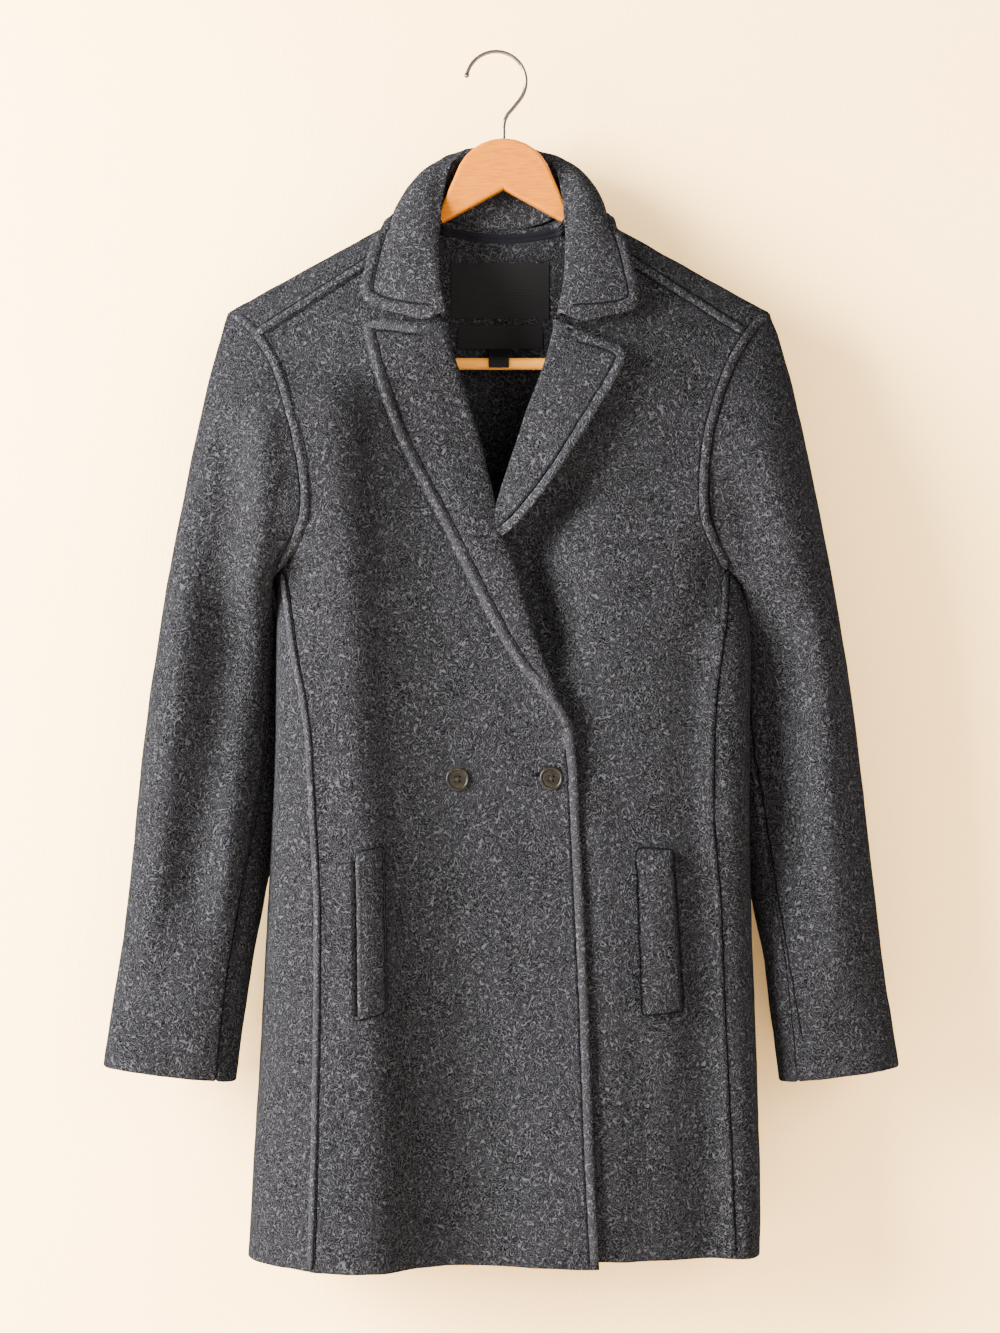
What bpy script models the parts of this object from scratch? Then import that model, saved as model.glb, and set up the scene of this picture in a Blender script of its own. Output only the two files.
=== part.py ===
"""Double-breasted wool coat on a wooden hanger.

The origin is the seat of the hook, +X runs to the viewer's right, +Y to the back of the coat and +Z up.
Sizes are in millimetres, and MM turns them into metres where a mesh is made.
The wearer's right front lies on top and is on the viewer's left, at -X.
"""

import math

import bmesh
import bpy
import numpy as np
from mathutils import Vector

MM = 0.001

# Cloth
WALL = 3.0
LAPEL_WALL = 2.4
SEAM_GAP = 0.3
WELT_WIDTH = 6.0
WELT_SLOPE = 1.6
WELT_HEIGHT = 1.3
EDGE_WIDTH = 7.0
# Depth below the hook over which the front edge starts to be stitched
EDGE_WELT_EASE = (566.0, 596.0)
RIDGE_WALL = 1.1

# Body of the coat
MID_X = 3.0
CENTRE_BACK_X = 6.0
HEM_Z = -1008.0
UNDERARM_Z = -436.0
ROUND_ACROSS = 3.0
ROUND_DEEP = 2.2
RIDGE_TOP_Z = -92.7
RIDGE_SLOPE = 0.5415
FRONT_ROUND = 160.0
FRONT_ROUND_POWER = 0.75
BACK_ROUND = 24.0
BACK_ROUND_POWER = 0.5
SIDE_BACK_INSET = 46.0
# The seam starts nearer the side at the top and eases out to the full inset
SIDE_BACK_HIGH = 0.75
SIDE_BACK_EASE = (480.0, 540.0)
FOLD_LENGTH = 204.0
FOLD_MID_X = 62.0
FOLD_DEPTH = 12.0
FOLD_DROP = 3.5
FOLD_START_Z = -640.0

# Body sections: height, left and right side, depth of the front and of the back
BODY_COLUMNS = ("z", "left", "right", "front", "back")
BODY = (
    (-120, -320, 326, 46, 15),
    (-220, -310, 316, 50, 15),
    (-300, -265, 274, 56, 17),
    (-380, -222, 236, 62, 24),
    (-436, -187, 212, 66, 30),
    (-503, -186, 213, 69, 35),
    (-579, -186, 212, 72, 39),
    (-646, -189, 212, 74, 42),
    (-714, -193, 213, 76, 44),
    (-798, -197, 216, 77, 46),
    (-882, -202, 219, 78, 48),
    (-950, -206, 222, 79, 50),
    (-1020, -210, 220, 80, 52),
)

# Front half of each armhole, from the shoulder point down to the side-front seam
ARMHOLE_COLUMNS = ("z", "left", "right")
ARMHOLE = (
    (-218, -226, 230),
    (-228, -210, 219),
    (-240, -199, 209),
    (-264, -184, 195),
    (-292, -174, 184),
    (-320, -166, 176),
    (-347, -160, 172),
    (-371, -157, 171),
    (-394, -158, 172),
    (-415, -167, 181),
    (-436, -179, 191),
)

# Back half of each armhole, down to the side-back seam
BACK_ARMHOLE = ARMHOLE[:8] + ((-394, -156, 171), (-436, -152.5, 177.5))

# Side-front seams, from the underarm down to the hem
SIDE_FRONT_COLUMNS = ("z", "left", "right")
SIDE_FRONT = (
    (-436, -179, 191),
    (-470, -173, 189),
    (-508, -167, 183),
    (-540, -160, 179),
    (-572, -155, 177),
    (-642, -151, 176),
    (-709, -147, 182),
    (-790, -147, 185),
    (-912, -149, 191),
    (-1020, -152, 195),
)

# Inner boundary of each front: neckline, roll line and front edge
FRONT_EDGE_COLUMNS = ("z", "over", "under")
FRONT_EDGE = (
    (-146, -59, 65),
    (-180, -60, 66),
    (-212, -52, 58),
    (-227, -44, 52),
    (-246, -42, 49),
    (-272, -34, 41),
    (-330, -16, 20),
    (-360, -9, 11),
    (-390, -2, 0),
    (-424, 9, -10),
    (-458, 19, -19),
    (-490, 28, -28),
    (-518, 38, -36),
    (-544, 48, -44),
    (-562, 60, -50),
    (-587, 66, -53),
    (-643, 69, -54),
    (-709, 72, -56),
    (-790, 76, -60),
    (-912, 80, -64),
    (-1020, 85, -68),
)

# Lapels, from the break up to the gorge: roll line and outer edge
OVER_LAPEL = (
    (61, -566, 59, -568),
    (54, -553, 48, -556),
    (49.5, -544, 39, -546),
    (38, -518, 20, -522),
    (28, -490, 5, -499),
    (19, -458, -13, -466),
    (9, -424, -31, -430),
    (-2, -390, -49, -394),
    (-9, -360, -67, -360),
    (-16, -330, -80, -335),
    (-25, -301, -91, -306),
    (-34, -272, -102, -274),
    (-40, -252, -109, -248),
    (-43, -238, -112, -228),
)
UNDER_LAPEL = (
    (-4, -404, 2, -412),
    (0, -390, 15, -402),
    (6, -373, 29, -386),
    (13, -352, 44, -367),
    (20, -330, 57, -348),
    (27, -309, 69, -329),
    (34, -291, 81, -310),
    (41, -272, 92, -292),
    (46, -256, 101, -277),
    (50, -242, 108, -262),
)
# Top edge of each lapel beside the gorge: place from roll to edge, and rise above the last row
OVER_LAPEL_TOP = ((0.0, 6), (0.25, 2), (0.5, 1), (0.75, 2), (1.0, -2))
UNDER_LAPEL_TOP = ((0.0, 12), (0.3, 9), (0.55, 9), (0.8, 9), (0.93, 7), (1.0, 1))

# Collar stations from the gorge to the centre back. Each gives the roll (x, y, z), the foot of the stand
# on the neckline (x, side, z; side -1 on the front, 0 on the ridge, 1 on the back) and the outer edge
# of the fall (x, y, z)
OVER_COLLAR = (
    (-43, -60, -225.5, -42.5, -1, -226, -99, -46, -219.5),
    (-45, -56, -214, -49, -1, -213, -112, -44, -211),
    (-48, -50, -200, -53, -1, -200, -114, -41, -203),
    (-49, -42.5, -185, -57.0, -1, -186, -110, -37, -191),
    (-50, -33, -169, -57.6, -1, -170, -107, -30, -176),
    (-49, -25, -155, -57.4, -1, -155, -104, -20, -162),
    (-48, -16.5, -140, -57.3, -1, -141, -99, -8, -146.5),
    (-46.5, -9, -122, -57.4, 0, -125, -95, 5, -138),
    (-43, 2, -106, -55.6, 1, -127.6, -85, 18, -141),
    (-37, 10, -93, -49.6, 1, -133, -73, 29, -147),
    (-26, 15, -84, -37.8, 1, -140.4, -55, 35, -155),
    (-11, 17, -82, -18, 1, -146.2, -26, 38, -161),
    (4, 18, -81, 4, 1, -147.2, 4, 39, -163),
)
UNDER_COLLAR = (
    (52, -60, -225.5, 51, -1, -226, 112, -46, -222.5),
    (54, -56, -214, 55, -1, -214, 119, -44, -215),
    (57, -50, -201, 59, -1, -201, 118, -41, -204),
    (58, -42.5, -186, 62.6, -1, -187, 115, -37, -191),
    (59, -33, -170, 63.8, -1, -171, 112, -30, -176),
    (59, -25, -155, 63.5, -1, -155, 108, -20, -162),
    (58, -16.5, -140, 63.3, -1, -141, 103, -8, -146.5),
    (57, -9, -122, 63.4, 0, -125, 101, 5, -137),
    (53, 2, -106, 61.6, 1, -127.6, 92, 18, -140),
    (46, 10, -93, 55.6, 1, -133, 80, 29, -147),
    (35, 15, -84, 43.8, 1, -140.4, 63, 35, -155),
    (19, 17, -82, 24, 1, -146.2, 34, 38, -161),
)

# Rows of the body below the armholes, shared by the panels that meet there
LOWER_ROWS = (
    -1008, -1001, -975, -930, -880, -820, -765, -709, -660, -622, -587, -570, -552, -525, -495, -465, -436,
)

# Rows of a front beside the armhole: height at the roll line and at the armhole
FRONT_UPPER = (
    (-408, -420),
    (-380, -402),
    (-352, -384),
    (-325, -362),
    (-298, -340),
    (-272, -318),
    (-250, -298),
    (-227, -278),
    (-206, -264),
    (-180, -251),
    (-146.7, -238.7),
)

# Rows of the back beside the armhole and over the shoulder: neckline point, armhole height,
# and which side of the ridge (1 back, 0 on it, -1 front)
BACK_UPPER = (
    (0, -412, -418, 1),
    (0, -372, -396, 1),
    (0, -330, -371, 1),
    (0, -285, -345, 1),
    (0, -240, -318, 1),
    (0, -205, -292, 1),
    (0, -175, -268, 1),
    (0, -158, -249, 1),
    (0, -148.6, -240, 1),
    (22, -147.4, -234, 1),
    (42, -141.8, -229, 1),
    (54, -134.5, -224, 1),
    (60, -128.6, -220.5, 1),
    (62, -126.3, -218, 0),
    (62, -128.4, -220, -1),
    (62, -134, -226, -1),
    (62, -146, -238, -1),
)

# Sleeve rings from the armhole to the cuff: outer and inner end, depth, middle, bow to the body,
# and the angles of the two seams from the inner end
SLEEVE_COLUMNS = (
    "out_x", "out_z", "in_x", "in_z", "depth", "mid_y", "bow", "front_seam", "back_seam",
)
LEFT_SLEEVE = (
    (-226, -218, -187, -444, 40, -8, 40, 24, 50),
    (-232, -234, -189, -449, 42, -9, 32, 25, 52),
    (-240, -264, -191, -456, 43, -10, 24, 26, 54),
    (-248, -300, -192, -470, 43, -11, 16, 28, 56),
    (-257, -344, -193, -492, 43, -12, 10, 30, 58),
    (-266, -390, -193, -516, 42, -12, 6, 31, 60),
    (-275, -436, -193, -542, 41, -12, 4, 32, 60),
    (-283, -488, -192, -570, 40, -12, 3, 34, 60),
    (-291, -541, -191, -600, 39, -12, 2, 38, 60),
    (-298, -595, -191, -634, 38, -12, 1, 43, 60),
    (-303, -650, -193, -672, 37, -12, 0, 47, 60),
    (-308, -704, -198, -715, 36, -12, 0, 50, 60),
    (-315, -758, -204, -765, 35, -12, 0, 51, 60),
    (-323, -804, -211, -811, 34, -12, 0, 50, 60),
    (-330, -851, -218, -864, 33, -12, 0, 46, 60),
)
RIGHT_SLEEVE = (
    (230, -218, 212, -444, 40, -8, 40, 24, 50),
    (237, -234, 214, -449, 42, -9, 32, 25, 52),
    (245, -264, 216, -456, 43, -10, 24, 26, 54),
    (254, -300, 218, -470, 43, -11, 16, 28, 56),
    (263, -344, 219, -492, 43, -12, 10, 30, 58),
    (272, -390, 220, -516, 42, -12, 6, 31, 60),
    (281, -436, 220, -542, 41, -12, 4, 32, 60),
    (290, -488, 220, -570, 40, -12, 3, 34, 60),
    (298, -541, 219, -600, 39, -12, 2, 38, 60),
    (305, -595, 219, -634, 38, -12, 1, 43, 60),
    (311, -650, 220, -672, 37, -12, 0, 47, 60),
    (317, -704, 221, -715, 36, -12, 0, 50, 60),
    (323, -758, 224, -765, 35, -12, 0, 51, 60),
    (330, -804, 230, -811, 34, -12, 0, 50, 60),
    (338, -851, 237, -864, 33, -12, 0, 46, 60),
)
SLEEVE_ROUND = 0.85
FAN_IN_RINGS = 4
ARMHOLE_GAP = 0.35
UNDERARM_DIP = 4.0
UNDERARM_TURN = 2.5
SLEEVE_CORNER_GAP = 0.9
FRONT_ARMHOLE_ROWS = (
    -218, -220, -226, -238.7, -251, -264, -278, -298, -318, -340, -362, -384, -402, -420, -436,
)
BACK_ARMHOLE_ROWS = (-418, -396, -371, -345, -318, -292, -268, -249, -234, -224, -220.5, -218)

# Columns across each panel
FRONT_STEPS = 8
SIDE_STEPS = 9
BACK_STEPS = 8

# Forward shoulder seam
SHOULDER_WELT = 1.1
SHOULDER_WELT_BELOW = -130

# How far the under front lies behind the front surface: height, depth. The depth eases away over a
# stretch beyond the edge of the front that covers it
UNDER_DEPTHS = ((-290, 0.0), (-330, 9.0), (-380, 13.0), (-420, 13.0), (-480, 10.5), (-565, 9.5), (-610, 5.0))
UNDER_EASE = (2.0, 80.0)

# Lapel and collar sections
LAPEL_HOOK = ((9.0, -5.3), (3.0, -5.3), (-1.4, -4.4), (-2.8, -1.8), (-1.8, 1.0))
LAPEL_SHARES = (0.0, 0.2, 0.4, 0.62, 0.82, 1.0)
LAPEL_LIFT = 2.6
LAPEL_START = 2.5
LAPEL_LEAST = 5.5
LAPEL_CROWN = 1.4
LAPEL_FULL_WIDTH = 40.0
LAPEL_EDGE_SHARE = 0.3
LAPEL_RAISED_WIDTH = 20.0
# Below this width a lapel points straight out and slightly down
LAPEL_NARROW = 14.0
LAPEL_POINT = (0.95, -0.31)
EDGE_LIFT = WELT_HEIGHT * 0.9
COLLAR_WALL = 2.7
# Round the roll: back up the stand, on along the fall, rise over it
COLLAR_ROLL = (0.5, 3.2, 1.6)
# Back from the outer edge and height over the straight line of the fall
COLLAR_EDGE = ((EDGE_WIDTH + WELT_SLOPE, 1.2), (EDGE_WIDTH, 0.9), (0.0, 0.0))
# Share of the fall's width and of its fullness
COLLAR_CROWN = ((0.16, 0.72), (0.34, 1.0), (0.52, 1.0), (0.7, 0.72))
# Fullness of the fall at each station from the gorge to the centre back: sideways, back and up
COLLAR_FULLNESS = (
    (0, -3.6, 0), (0, -3.6, 0), (0, -3.6, 0), (0, -3.8, 0), (0, -4.4, 0.6), (0, -5.2, 2.2), (1, -5.5, 6.5),
    (4, -4, 13), (7, 3, 14), (9, 8, 14), (6, 8, 12), (2, 5, 6), (0, 3, 3),
)
# How far the two front ends dip along the fall: point across the collar, dip
COLLAR_END_DROP = ((0, 0), (3, 0), (5, -8), (7, -3), (10, 0))

# Pocket welts: corners in the plane of the front, clockwise from the top left
POCKET_WELT_LIFT = 2.4
POCKET_CROWN = 0.5
POCKET_SEAT = 0.4
POCKET_ROWS = 8
POCKET_STEPS = 4
OVER_POCKET = ((-117, -670), (-92, -663), (-89, -799), (-115, -805))
UNDER_POCKET = ((114, -665), (144, -667), (153, -800), (119, -804))

# Buttons
BUTTON_RADIUS = 10.0
BUTTON_SIDES = 24
# Half section of a button from the middle of its face to the middle of its back: share of the radius,
# height
BUTTON_PROFILE = (
    (0.0, 0.6), (0.52, 0.6), (0.64, 1.2), (0.86, 1.4), (1.0, 0.2), (0.94, -1.4), (0.74, -2.0), (0.0, -2.0),
)
BUTTON_CUTTER_LENGTH = 10.0
BUTTON_SEAT = 0.4
BUTTON_HOLE_RADIUS = 0.85
BUTTON_HOLE_REACH = 2.4
BUTTON_INNER = (-32.0, -610.0)
BUTTON_OUTER = (45.5, -609.0)

# Labels and tape on the inside of the back: middle height, width, height
LABEL_THICK = 0.8
LABEL_SEAT = 0.3
LABEL_ROWS = 4
LABEL_STEPS = 6
LABEL_X = 3.0
MAIN_LABEL = (-199.0, 83.0, 47.0)
SMALL_LABEL = (-238.0, 72.0, 20.0)
TAB_X = 2.0
TAB_WIDTH = 17.0
TAB_THICK = 0.8
TAB_STEPS = 9
TAB_LINE = ((11.0, -248.9), (7.5, -250.5), (2.0, -253.8), (-4.0, -256.3), (-6.2, -260.5), (-6.4, -265.5))
TAPE_HALF_WIDTH = 52.0
TAPE_TOP_Z = -149.5
TAPE_HEIGHT = 8.0
TAPE_SHARES = (0.0, 0.45, 0.55, 1.0)
TAPE_STEPS = 15
TAPE_DIP = 3.0
TAPE_THICK = 0.9

# Hanger
HANGER_X = 6.0
WOOD_HALF = 6.0
WOOD_EDGE = 2.4
SAME_FACE = 0.01
ARCH_TOP_Z = -72.0
ARCH_RADIUS = 42.0
NOTCH_Z = -115.0
NOTCH_SLOPE = 0.55
ARM_DROP = 10.5
ARM_END = 205.0
BAR_Z = -261.8
BAR_RADIUS = 5.0
# End of an arm round the bar: out from the arm's end, up from the bar's middle
ARM_FOOT = ((-12.0, 14.0), (-12.0, -9.0), (-9.0, -12.0), (-2.0, -12.0), (1.0, -9.0), (2.0, 20.0))
# Rounded tip of an arm: out from the arm's end, down from the arm's top edge
ARM_TIP = ((0.0, 6.0), (-6.0, 1.0))
ARM_REACHES = (170, 130, 95, 74, 64)
# Where the arms rise into the rounded neck: reach from the middle, height
ARCH_SHOULDER = ((55, -134.5), (51.3, -127.0))
ARCH_DEGREES = (62, 50, 38, 26, 13)
NOTCH_REACHES = (60, 120, 178)
BAR_INSET = 12.0
BAR_SIDES = 24
HOOK_HOLE_DEPTH = 14.0
HOOK_HOLE_PLAY = 0.4
HOOK_CUTTER_LENGTH = 30.0
HOOK_END_ROOM = 1.0
HOOK_NECK = ((13.6, -46.6), (9.2, -51.6), (6.9, -56.5), (HANGER_X, -62.0))
WIRE_RADIUS = 1.65
HOOK_RADIUS = 25.3
HOOK_X = -0.4
HOOK_TIP_ANGLE = 168
HOOK_END_ANGLE = -40
HOOK_STEP = 9
HOOK_SIDES = 10
HOOK_BALL = ((-2.2, 0.5), (-1.5, 1.15), (-0.2, 1.5), (1.2, 1.3), (2.2, 1.0))


def interpolate(table, columns, name, z):
    """One column of a table whose first column is a falling height."""
    heights = [-row[0] for row in table]
    values = [row[columns.index(name)] for row in table]
    return np.interp(-np.asarray(z, dtype=float), heights, values)


def smooth(low, high, value):
    """0 below low, 1 above high, and an even ease between them."""
    t = np.clip((value - low) / (high - low), 0.0, 1.0)
    return t * t * (3 - 2 * t)


def body_at(name, z):
    return interpolate(BODY, BODY_COLUMNS, name, z)


def ridge_z(x):
    """Height of the shoulder ridge above a place across the coat."""
    return RIDGE_TOP_Z - RIDGE_SLOPE * np.abs(x - MID_X)


def roundness(x, z):
    """How full the body is at a place: 1 at the middle, 0 at the side."""
    left = body_at("left", z)
    right = body_at("right", z)
    across = np.clip(np.abs(2 * x - left - right) / (right - left), 0.0, 1.0)
    return (1 - across ** ROUND_ACROSS) ** (1 / ROUND_DEEP)


def hem_fold(x, z):
    """Soft upright folds that grow towards the hem."""
    growth = smooth(-FOLD_START_Z, -HEM_Z, -z)
    return growth * np.cos(2 * math.pi * (x - FOLD_MID_X) / FOLD_LENGTH)


def front_y(x, z):
    """Outer surface of the front."""
    below = np.clip((ridge_z(x) - z) / FRONT_ROUND, 0.0, 1.0)
    over_shoulder = (1 - (1 - below) ** 2) ** FRONT_ROUND_POWER
    full = roundness(x, z) * over_shoulder
    return -(body_at("front", z) + FOLD_DEPTH * hem_fold(x, z)) * full


def back_y(x, z):
    """Outer surface of the back."""
    below = np.clip((ridge_z(x) - z) / BACK_ROUND, 0.0, 1.0)
    over_shoulder = (1 - (1 - below) ** 2) ** BACK_ROUND_POWER
    return body_at("back", z) * roundness(x, z) * over_shoulder


def surface_y(side, x, z):
    """Front for -1, back for +1."""
    return front_y(x, z) if side < 0 else back_y(x, z)


def surface_normal(side, x, z, step=1.0):
    """Unit vector out of the front or the back."""
    slope_x = (surface_y(side, x + step, z) - surface_y(side, x - step, z)) / (2 * step)
    slope_z = (surface_y(side, x, z + step) - surface_y(side, x, z - step)) / (2 * step)
    slopes = np.array([slope_x, -1.0, slope_z]) if side < 0 else np.array([-slope_x, 1.0, -slope_z])
    return slopes / np.linalg.norm(slopes)


def material(name, colour, roughness_value, metallic=0.0):
    finish = bpy.data.materials.new(name)
    finish.use_nodes = True
    shader = finish.node_tree.nodes["Principled BSDF"]
    shader.inputs["Base Color"].default_value = (*colour, 1.0)
    shader.inputs["Roughness"].default_value = roughness_value
    shader.inputs["Metallic"].default_value = metallic
    return finish


def finish_object(name, bm, finish, smooth_angle=40.0):
    """Turns a closed bmesh, in millimetres, into a named object in metres."""
    bmesh.ops.recalc_face_normals(bm, faces=bm.faces)
    bmesh.ops.scale(bm, vec=(MM, MM, MM), verts=bm.verts)
    mesh = bpy.data.meshes.new(name)
    bm.to_mesh(mesh)
    bm.free()
    mesh.shade_smooth()
    mesh.set_sharp_from_angle(angle=math.radians(smooth_angle))
    mesh.materials.append(finish)
    made = bpy.data.objects.new(name, mesh)
    bpy.context.scene.collection.objects.link(made)
    return made


def cloth(name, rows, finish):
    """Closed wall through rows of outer and inner points."""
    bm = bmesh.new()
    rings = []
    for outer, inner in rows:
        points = list(outer) + list(inner)[::-1]
        rings.append([bm.verts.new(point) for point in points])
    count = len(rings[0])
    for ring, following in zip(rings, rings[1:]):
        for i in range(count):
            j = (i + 1) % count
            bm.faces.new((ring[i], ring[j], following[j], following[i]))
    for ring in (rings[0], rings[-1]):
        for i in range(count // 2 - 1):
            bm.faces.new((ring[i], ring[i + 1], ring[count - 2 - i], ring[count - 1 - i]))
    return finish_object(name, bm, finish)


def inner_points(outer, normals, wall):
    return [np.asarray(p) - np.asarray(n) * wall for p, n in zip(outer, normals)]


def welted_steps(width, steps, edge_lift, seam_lift):
    """Places across a front from 0 to 1 and how far each is raised, with a raised strip at either edge."""
    first = (EDGE_WIDTH + WELT_SLOPE) / width
    last = 1.0 - (WELT_WIDTH + WELT_SLOPE) / width
    places = [0.0, EDGE_WIDTH / width, *np.linspace(first, last, steps), 1.0 - WELT_WIDTH / width, 1.0]
    raised = [edge_lift, edge_lift, *([0.0] * steps), seam_lift, seam_lift]
    return places, raised


def sheet_row(side, start, end, places, raised, offset=None, start_gap=SEAM_GAP, end_gap=SEAM_GAP):
    """One row of a panel on the front or the back surface, between two places in its plane."""
    start = np.asarray(start, dtype=float)
    end = np.asarray(end, dtype=float)
    length = np.linalg.norm(end - start)
    along = (end - start) / length
    start = start + along * start_gap
    end = end - along * end_gap
    outer = []
    inner = []
    for place, lift in zip(places, raised):
        x, z = start + (end - start) * place
        normal = surface_normal(side, x, z)
        base = np.array([x, surface_y(side, x, z), z])
        if offset is not None:
            base = base + np.array([0.0, offset(x, z), 0.0])
        outer.append(base + normal * lift)
        inner.append(base - normal * WALL)
    return outer, inner


def under_offset(x, z):
    """How far the under front lies behind the front surface where the other front covers it."""
    covered_to = interpolate(FRONT_EDGE, FRONT_EDGE_COLUMNS, "over", z)
    covered = 1 - smooth(covered_to + UNDER_EASE[0], covered_to + UNDER_EASE[1], x)
    deep = np.interp(-z, [-height for height, _ in UNDER_DEPTHS], [depth for _, depth in UNDER_DEPTHS])
    return deep * covered


def front_panel(name, which, side_name, finish):
    """A front from its roll line and front edge out to the side-front seam and the armhole."""
    offset = under_offset if which == "under" else None
    rows = []
    for inner_z, outer_z in [(z, z) for z in LOWER_ROWS] + list(FRONT_UPPER):
        start_x = interpolate(FRONT_EDGE, FRONT_EDGE_COLUMNS, which, inner_z)
        table, columns = (ARMHOLE, ARMHOLE_COLUMNS)
        if outer_z <= UNDERARM_Z:
            table, columns = (SIDE_FRONT, SIDE_FRONT_COLUMNS)
        end_x = interpolate(table, columns, side_name, outer_z)
        edge_lift = WELT_HEIGHT * smooth(*EDGE_WELT_EASE, -inner_z)
        places, raised = welted_steps(abs(end_x - start_x), FRONT_STEPS, edge_lift, WELT_HEIGHT)
        dip = FOLD_DROP * hem_fold(np.array([start_x, end_x]), inner_z)
        start = (start_x, inner_z - dip[0])
        end = (end_x, outer_z - dip[1])
        rows.append(sheet_row(-1, start, end, places, raised, offset))
    return cloth(name, rows, finish)


def side_back_x(side_name, z):
    """Place of the side-back seam."""
    sign = -1 if side_name == "left" else 1
    inset = SIDE_BACK_INSET * (SIDE_BACK_HIGH + (1 - SIDE_BACK_HIGH) * smooth(*SIDE_BACK_EASE, -z))
    return float(body_at(side_name, z)) - sign * inset


def side_row(side_name, z):
    """Outer points of the side panel at one height, from the side-front seam to the side-back seam."""
    sign = -1 if side_name == "left" else 1
    side_x = float(body_at(side_name, z))
    seam_x = float(interpolate(SIDE_FRONT, SIDE_FRONT_COLUMNS, side_name, z))
    middle = (float(body_at("left", z)) + float(body_at("right", z))) / 2
    half = abs(side_x - middle)
    back_x = side_back_x(side_name, z)
    front_angle = math.acos((abs(seam_x - middle) / half) ** (ROUND_ACROSS / 2))
    back_angle = math.acos((abs(back_x - middle) / half) ** (ROUND_ACROSS / 2))
    points = []
    for step in range(SIDE_STEPS):
        angle = front_angle - (back_angle + front_angle) * step / (SIDE_STEPS - 1)
        x = middle + sign * half * math.cos(angle) ** (2 / ROUND_ACROSS)
        full = abs(math.sin(angle)) ** (2 / ROUND_DEEP)
        y = full * float(body_at("back", z))
        drop = FOLD_DROP * float(hem_fold(x, z)) * step / (SIDE_STEPS - 1)
        drop = FOLD_DROP * float(hem_fold(seam_x, z)) - drop
        if angle > 0:
            y = -full * (float(body_at("front", z)) + FOLD_DEPTH * float(hem_fold(x, z)))
        points.append(np.array([x, y, z - drop * (1 - step / (SIDE_STEPS - 1))]))
    return points


def side_normals(side_name, points):
    """Outward directions along a row of the side panel."""
    sign = -1 if side_name == "left" else 1
    normals = []
    for i, point in enumerate(points):
        tangent = points[min(i + 1, len(points) - 1)] - points[max(i - 1, 0)]
        normal = np.array([-tangent[1], tangent[0], 0.0]) * -sign
        normals.append(normal / np.linalg.norm(normal))
    for end, side in ((0, -1), (-1, 1)):
        x, _, z = points[end]
        normals[end] = surface_normal(side, x, min(z, UNDERARM_Z))
    return normals


def shortened(points, gap):
    """The same line with both ends drawn in by a gap."""
    points = [np.array(p, dtype=float) for p in points]
    for end, near in ((0, 1), (-1, -2)):
        along = points[near] - points[end]
        points[end] = points[end] + along / np.linalg.norm(along) * gap
    return points


def underarm_line(side_name):
    """Top edge of the side panel, which is the bottom of the armhole, with the cloth's outward directions.

    In the middle the cloth turns over into the sleeve, so its outer side faces down there.
    """
    sign = -1 if side_name == "left" else 1
    points = side_row(side_name, UNDERARM_Z)
    normals = side_normals(side_name, points)
    for step, point in enumerate(points):
        turn = math.sin(math.pi * step / (SIDE_STEPS - 1))
        point += np.array([sign * UNDERARM_TURN * turn, 0.0, -UNDERARM_DIP * turn])
        turned = normals[step] * (1 - turn) + np.array([0.0, 0.0, -1.0]) * turn
        normals[step] = turned / np.linalg.norm(turned)
    return points, normals


def side_panel(name, side_name, finish):
    """The side from the side-front seam round to the side-back seam."""
    sign = -1 if side_name == "left" else 1
    rows = []
    for z in LOWER_ROWS:
        points = side_row(side_name, z)
        normals = side_normals(side_name, points)
        if z == UNDERARM_Z:
            points, normals = underarm_line(side_name)
            for i, away in enumerate(seam_directions(points, normals, sign)):
                points[i] = points[i] - away * SEAM_GAP
        outer = shortened(points, SEAM_GAP)
        rows.append((outer, inner_points(outer, normals, WALL)))
    return cloth(name, rows, finish)


def seam_directions(points, normals, sign):
    """Directions in the cloth, square to a seam and away from the middle of the coat."""
    directions = []
    for i, normal in enumerate(normals):
        along = points[min(i + 1, len(points) - 1)] - points[max(i - 1, 0)]
        away = np.cross(along, normal)
        away /= np.linalg.norm(away)
        directions.append(away if away[0] * sign > 0 else -away)
    return directions


def back_panel(name, side_name, finish):
    """Half of the back, from the hem up over the shoulder to the forward shoulder seam."""
    sign = -1 if side_name == "left" else 1
    rows = []
    flat = [0.0] * BACK_STEPS
    places = list(np.linspace(0.0, 1.0, BACK_STEPS))
    for z in LOWER_ROWS:
        end = (side_back_x(side_name, z), z)
        rows.append(sheet_row(1, (CENTRE_BACK_X, z), end, places, flat))
    for neck_x, neck_z, armhole_z, side in BACK_UPPER:
        start = (MID_X + sign * neck_x, neck_z) if neck_x else (CENTRE_BACK_X, neck_z)
        table = BACK_ARMHOLE if side > 0 else ARMHOLE
        end = (float(interpolate(table, ARMHOLE_COLUMNS, side_name, armhole_z)), armhole_z)
        if side == 0:
            rows.append(ridge_row(start, end, places))
        else:
            lift = SHOULDER_WELT if side < 0 and neck_z < SHOULDER_WELT_BELOW else 0.0
            rows.append(sheet_row(side, start, end, places, [lift] * BACK_STEPS))
    return cloth(name, rows, finish)


def ridge_row(start, end, places):
    """The row that runs along the shoulder ridge itself."""
    start = np.asarray(start, dtype=float)
    end = np.asarray(end, dtype=float)
    along = (end - start) / np.linalg.norm(end - start)
    start = start + along * SEAM_GAP
    end = end - along * SEAM_GAP
    outer = [np.array([x, 0.0, z]) for x, z in (start + (end - start) * place for place in places)]
    inner = [point - np.array([0.0, 0.0, WALL * RIDGE_WALL]) for point in outer]
    return outer, inner


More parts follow.
